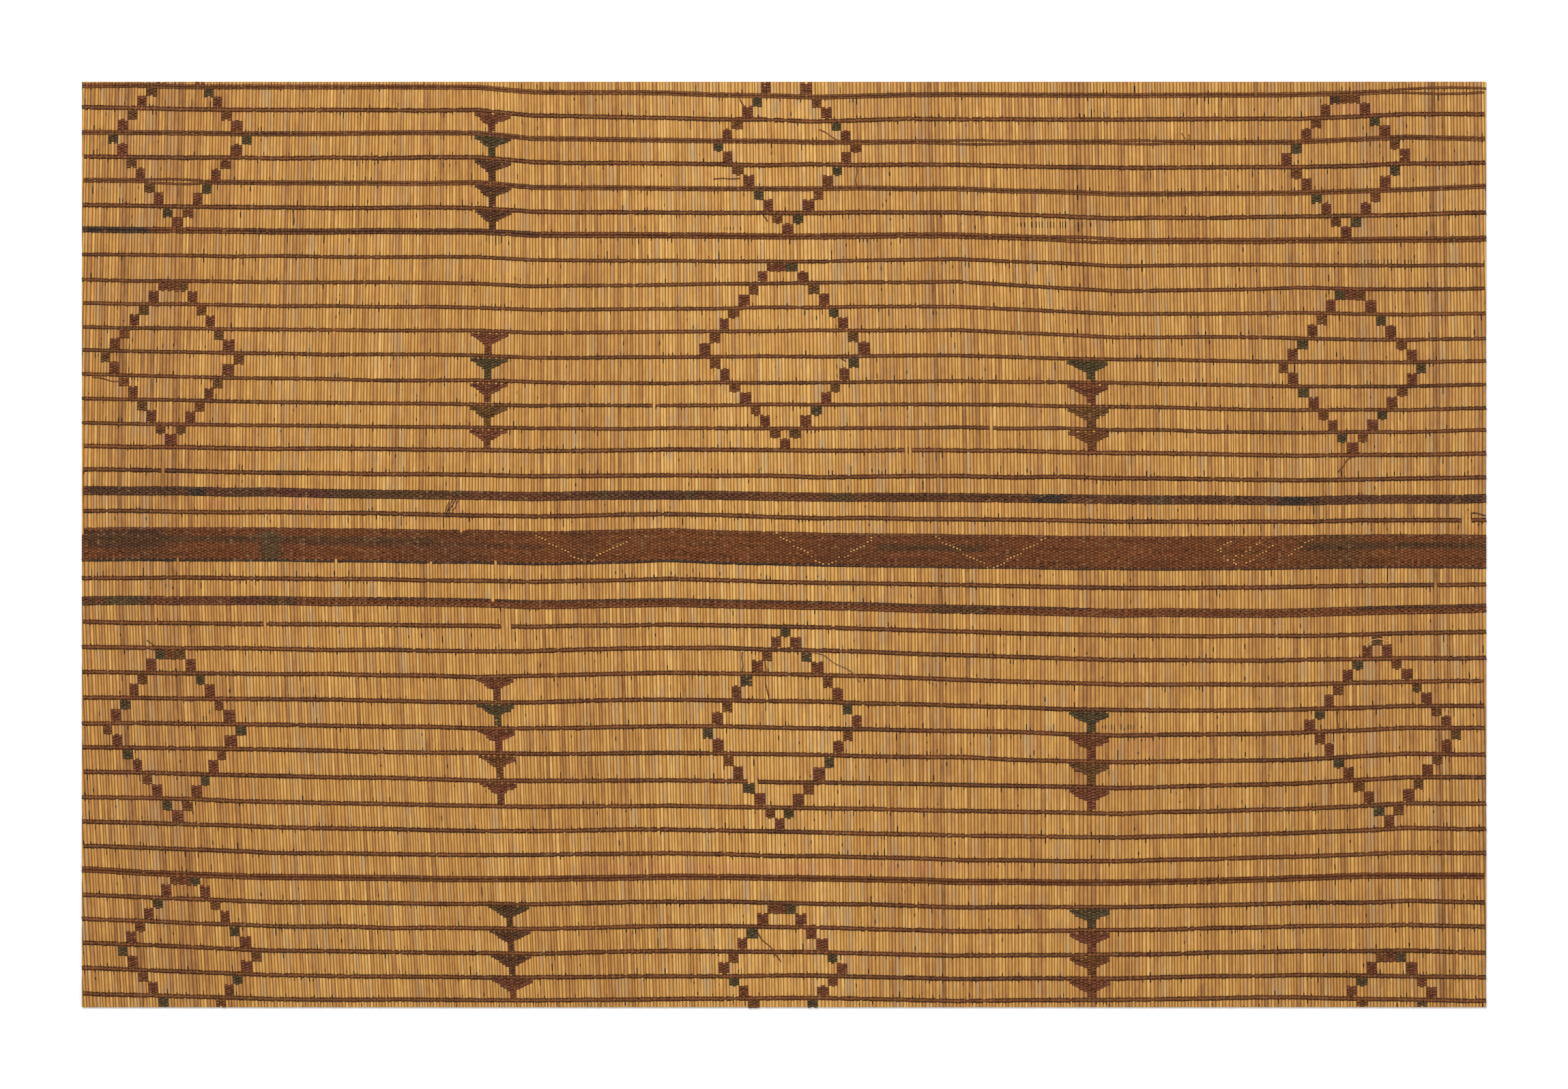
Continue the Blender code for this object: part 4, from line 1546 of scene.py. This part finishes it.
@dataclass
class LooseEnds(Leather):
    """The worn ends of strip that have come loose and lie on the reeds."""

    clear: float = 0.05
    rise: float = 0.12
    crown: float = 0.25

    def weave(self) -> None:
        """Lays each strand through its points on a smooth curve."""
        for strand in STRANDS:
            knots = np.reshape(strand.points, (-1, 2))
            steps = np.linspace(0, 1, len(knots))
            fine = np.linspace(0, 1, 6 * (len(knots) - 1) + 1)
            curve = np.stack([np.interp(fine, steps, knots[:, axis]) for axis in (0, 1)], axis=1)
            for _ in range(3):
                curve[1:-1] = (curve[:-2] + 2 * curve[1:-1] + curve[2:]) / 4
            number = len(curve)
            rise = REED_MIDDLE + REED_HALF_DEPTH + self.clear + self.rise * np.sin(np.pi * fine) ** 2
            half = strand.width / 2 * (1 + 0.15 * np.sin(fine * 9))
            half[[0, -1]] *= 0.6
            colour = np.array(strand.dye.value) * np.clip(self.rng.normal(1, 0.15, (number, 1)), 0.6, 1.5)
            self.strips.add(curve[:, 0], curve[:, 1], rise, half, np.full(number, self.crown), colour)


@dataclass(frozen=True)
class Studio:
    """A pale floor, soft light from above and the camera straight over the mat."""

    lens: float = 85
    sensor: float = 36
    floor_size: float = 8
    floor_colour: tuple = (0.93, 0.93, 0.93)
    key_height: float = 2.6
    key_power: float = 60
    key_size: float = 1.2
    fill_power: float = 20
    fill_size: float = 2
    sky: float = 0.42

    def floor(self) -> None:
        """Lays a wide plain floor just under the mat."""
        deselect_all()
        bpy.ops.mesh.primitive_plane_add(size=self.floor_size, location=(0, 0, -0.0002))
        floor = bpy.context.object
        floor.name = "floor"
        bpy.ops.object.transform_apply(location=True, rotation=False, scale=True)
        recipe = Recipe("pale_floor")
        recipe.feed(recipe.shader.inputs["Base Color"], self.floor_colour)
        recipe.feed(recipe.shader.inputs["Roughness"], 0.9)
        floor.data.materials.append(recipe.material)

    def light(self, name: str, place: Sequence[float], power: float, size: float) -> None:
        """Adds a square soft light that faces the middle of the mat."""
        data = bpy.data.lights.new(name, "AREA")
        data.energy = power
        data.size = size
        lamp = bpy.data.objects.new(name, data)
        lamp.location = place
        lamp.rotation_euler = (-Vector(place)).to_track_quat("-Z", "Y").to_euler()
        bpy.context.scene.collection.objects.link(lamp)

    def world(self) -> None:
        """Gives the room an even, neutral light."""
        world = bpy.data.worlds.new("soft_room")
        world.use_nodes = True
        background = world.node_tree.nodes["Background"]
        background.inputs["Color"].default_value = (1, 1, 1, 1)
        background.inputs["Strength"].default_value = self.sky
        bpy.context.scene.world = world

    def camera(self) -> None:
        """Hangs the camera where the mat fills the photograph's frame as it does there."""
        field_width = MAT_ACROSS * MM * FRAME_WIDTH / (FIELD_RIGHT - FIELD_LEFT)
        data = bpy.data.cameras.new("camera")
        data.lens = self.lens
        data.sensor_width = self.sensor
        camera = bpy.data.objects.new("camera", data)
        camera.location = (0, 0, SHEET_HIGH[2] + field_width * self.lens / self.sensor)
        bpy.context.scene.collection.objects.link(camera)
        bpy.context.scene.camera = camera

    def build(self) -> None:
        """Sets up the floor, the lights and the camera."""
        self.camera()
        self.floor()
        self.world()
        self.light("key", (-0.5, 1, self.key_height), self.key_power, self.key_size)
        self.light("fill", (1.3, -1.2, 2.4), self.fill_power, self.fill_size)
        bpy.context.scene.view_settings.view_transform = "Standard"


def place_piece(piece: bpy.types.Object, slot: Slot, nodes: Sequence[str], wardrobe: Wardrobe) -> None:
    """Dresses a finished piece and puts it in the frame."""
    wardrobe.dress(piece, slot)
    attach(piece, "root")
    if nodes:
        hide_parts(*nodes)
    LOG.info("%s: %d faces", piece.name, len(piece.data.polygons))


def main() -> None:
    """Builds the studio and the mat, piece by piece."""
    Studio().build()
    wardrobe = Wardrobe()
    reeds = ReedLayer().build()
    place_piece(reeds, Slot.REED, ["reed_sheet"], wardrobe)

    makers = (
        LineLeather("upper_lines", 21, lines=[*range(1, 8)]),
        LineLeather("middle_lines", 22, lines=[*range(8, 18), 19]),
        LineLeather("bars", 23, Slot.BAR, [18, 22]),
        LineLeather("wide_band", 24, Slot.BAND, [BAND_LINE]),
        LineLeather("lower_lines", 25, lines=[21, *range(23, 33)]),
        LineLeather("last_lines", 26, lines=[*range(33, LINE_COUNT + 1)]),
        *(MotifLeather(f"diamonds_{group}", 30 + group, motifs=DIAMONDS[3 * group - 3:3 * group])
          for group in range(1, 5)),
        MotifLeather("trees", 41, motifs=TREES),
        LooseEnds("loose_ends", 51),
    )
    for maker in makers:
        piece = maker.build()
        place_piece(piece, maker.slot, maker.nodes(), wardrobe)


if __name__ == "__main__":
    logging.basicConfig(level=logging.INFO, format="%(message)s")
    main()
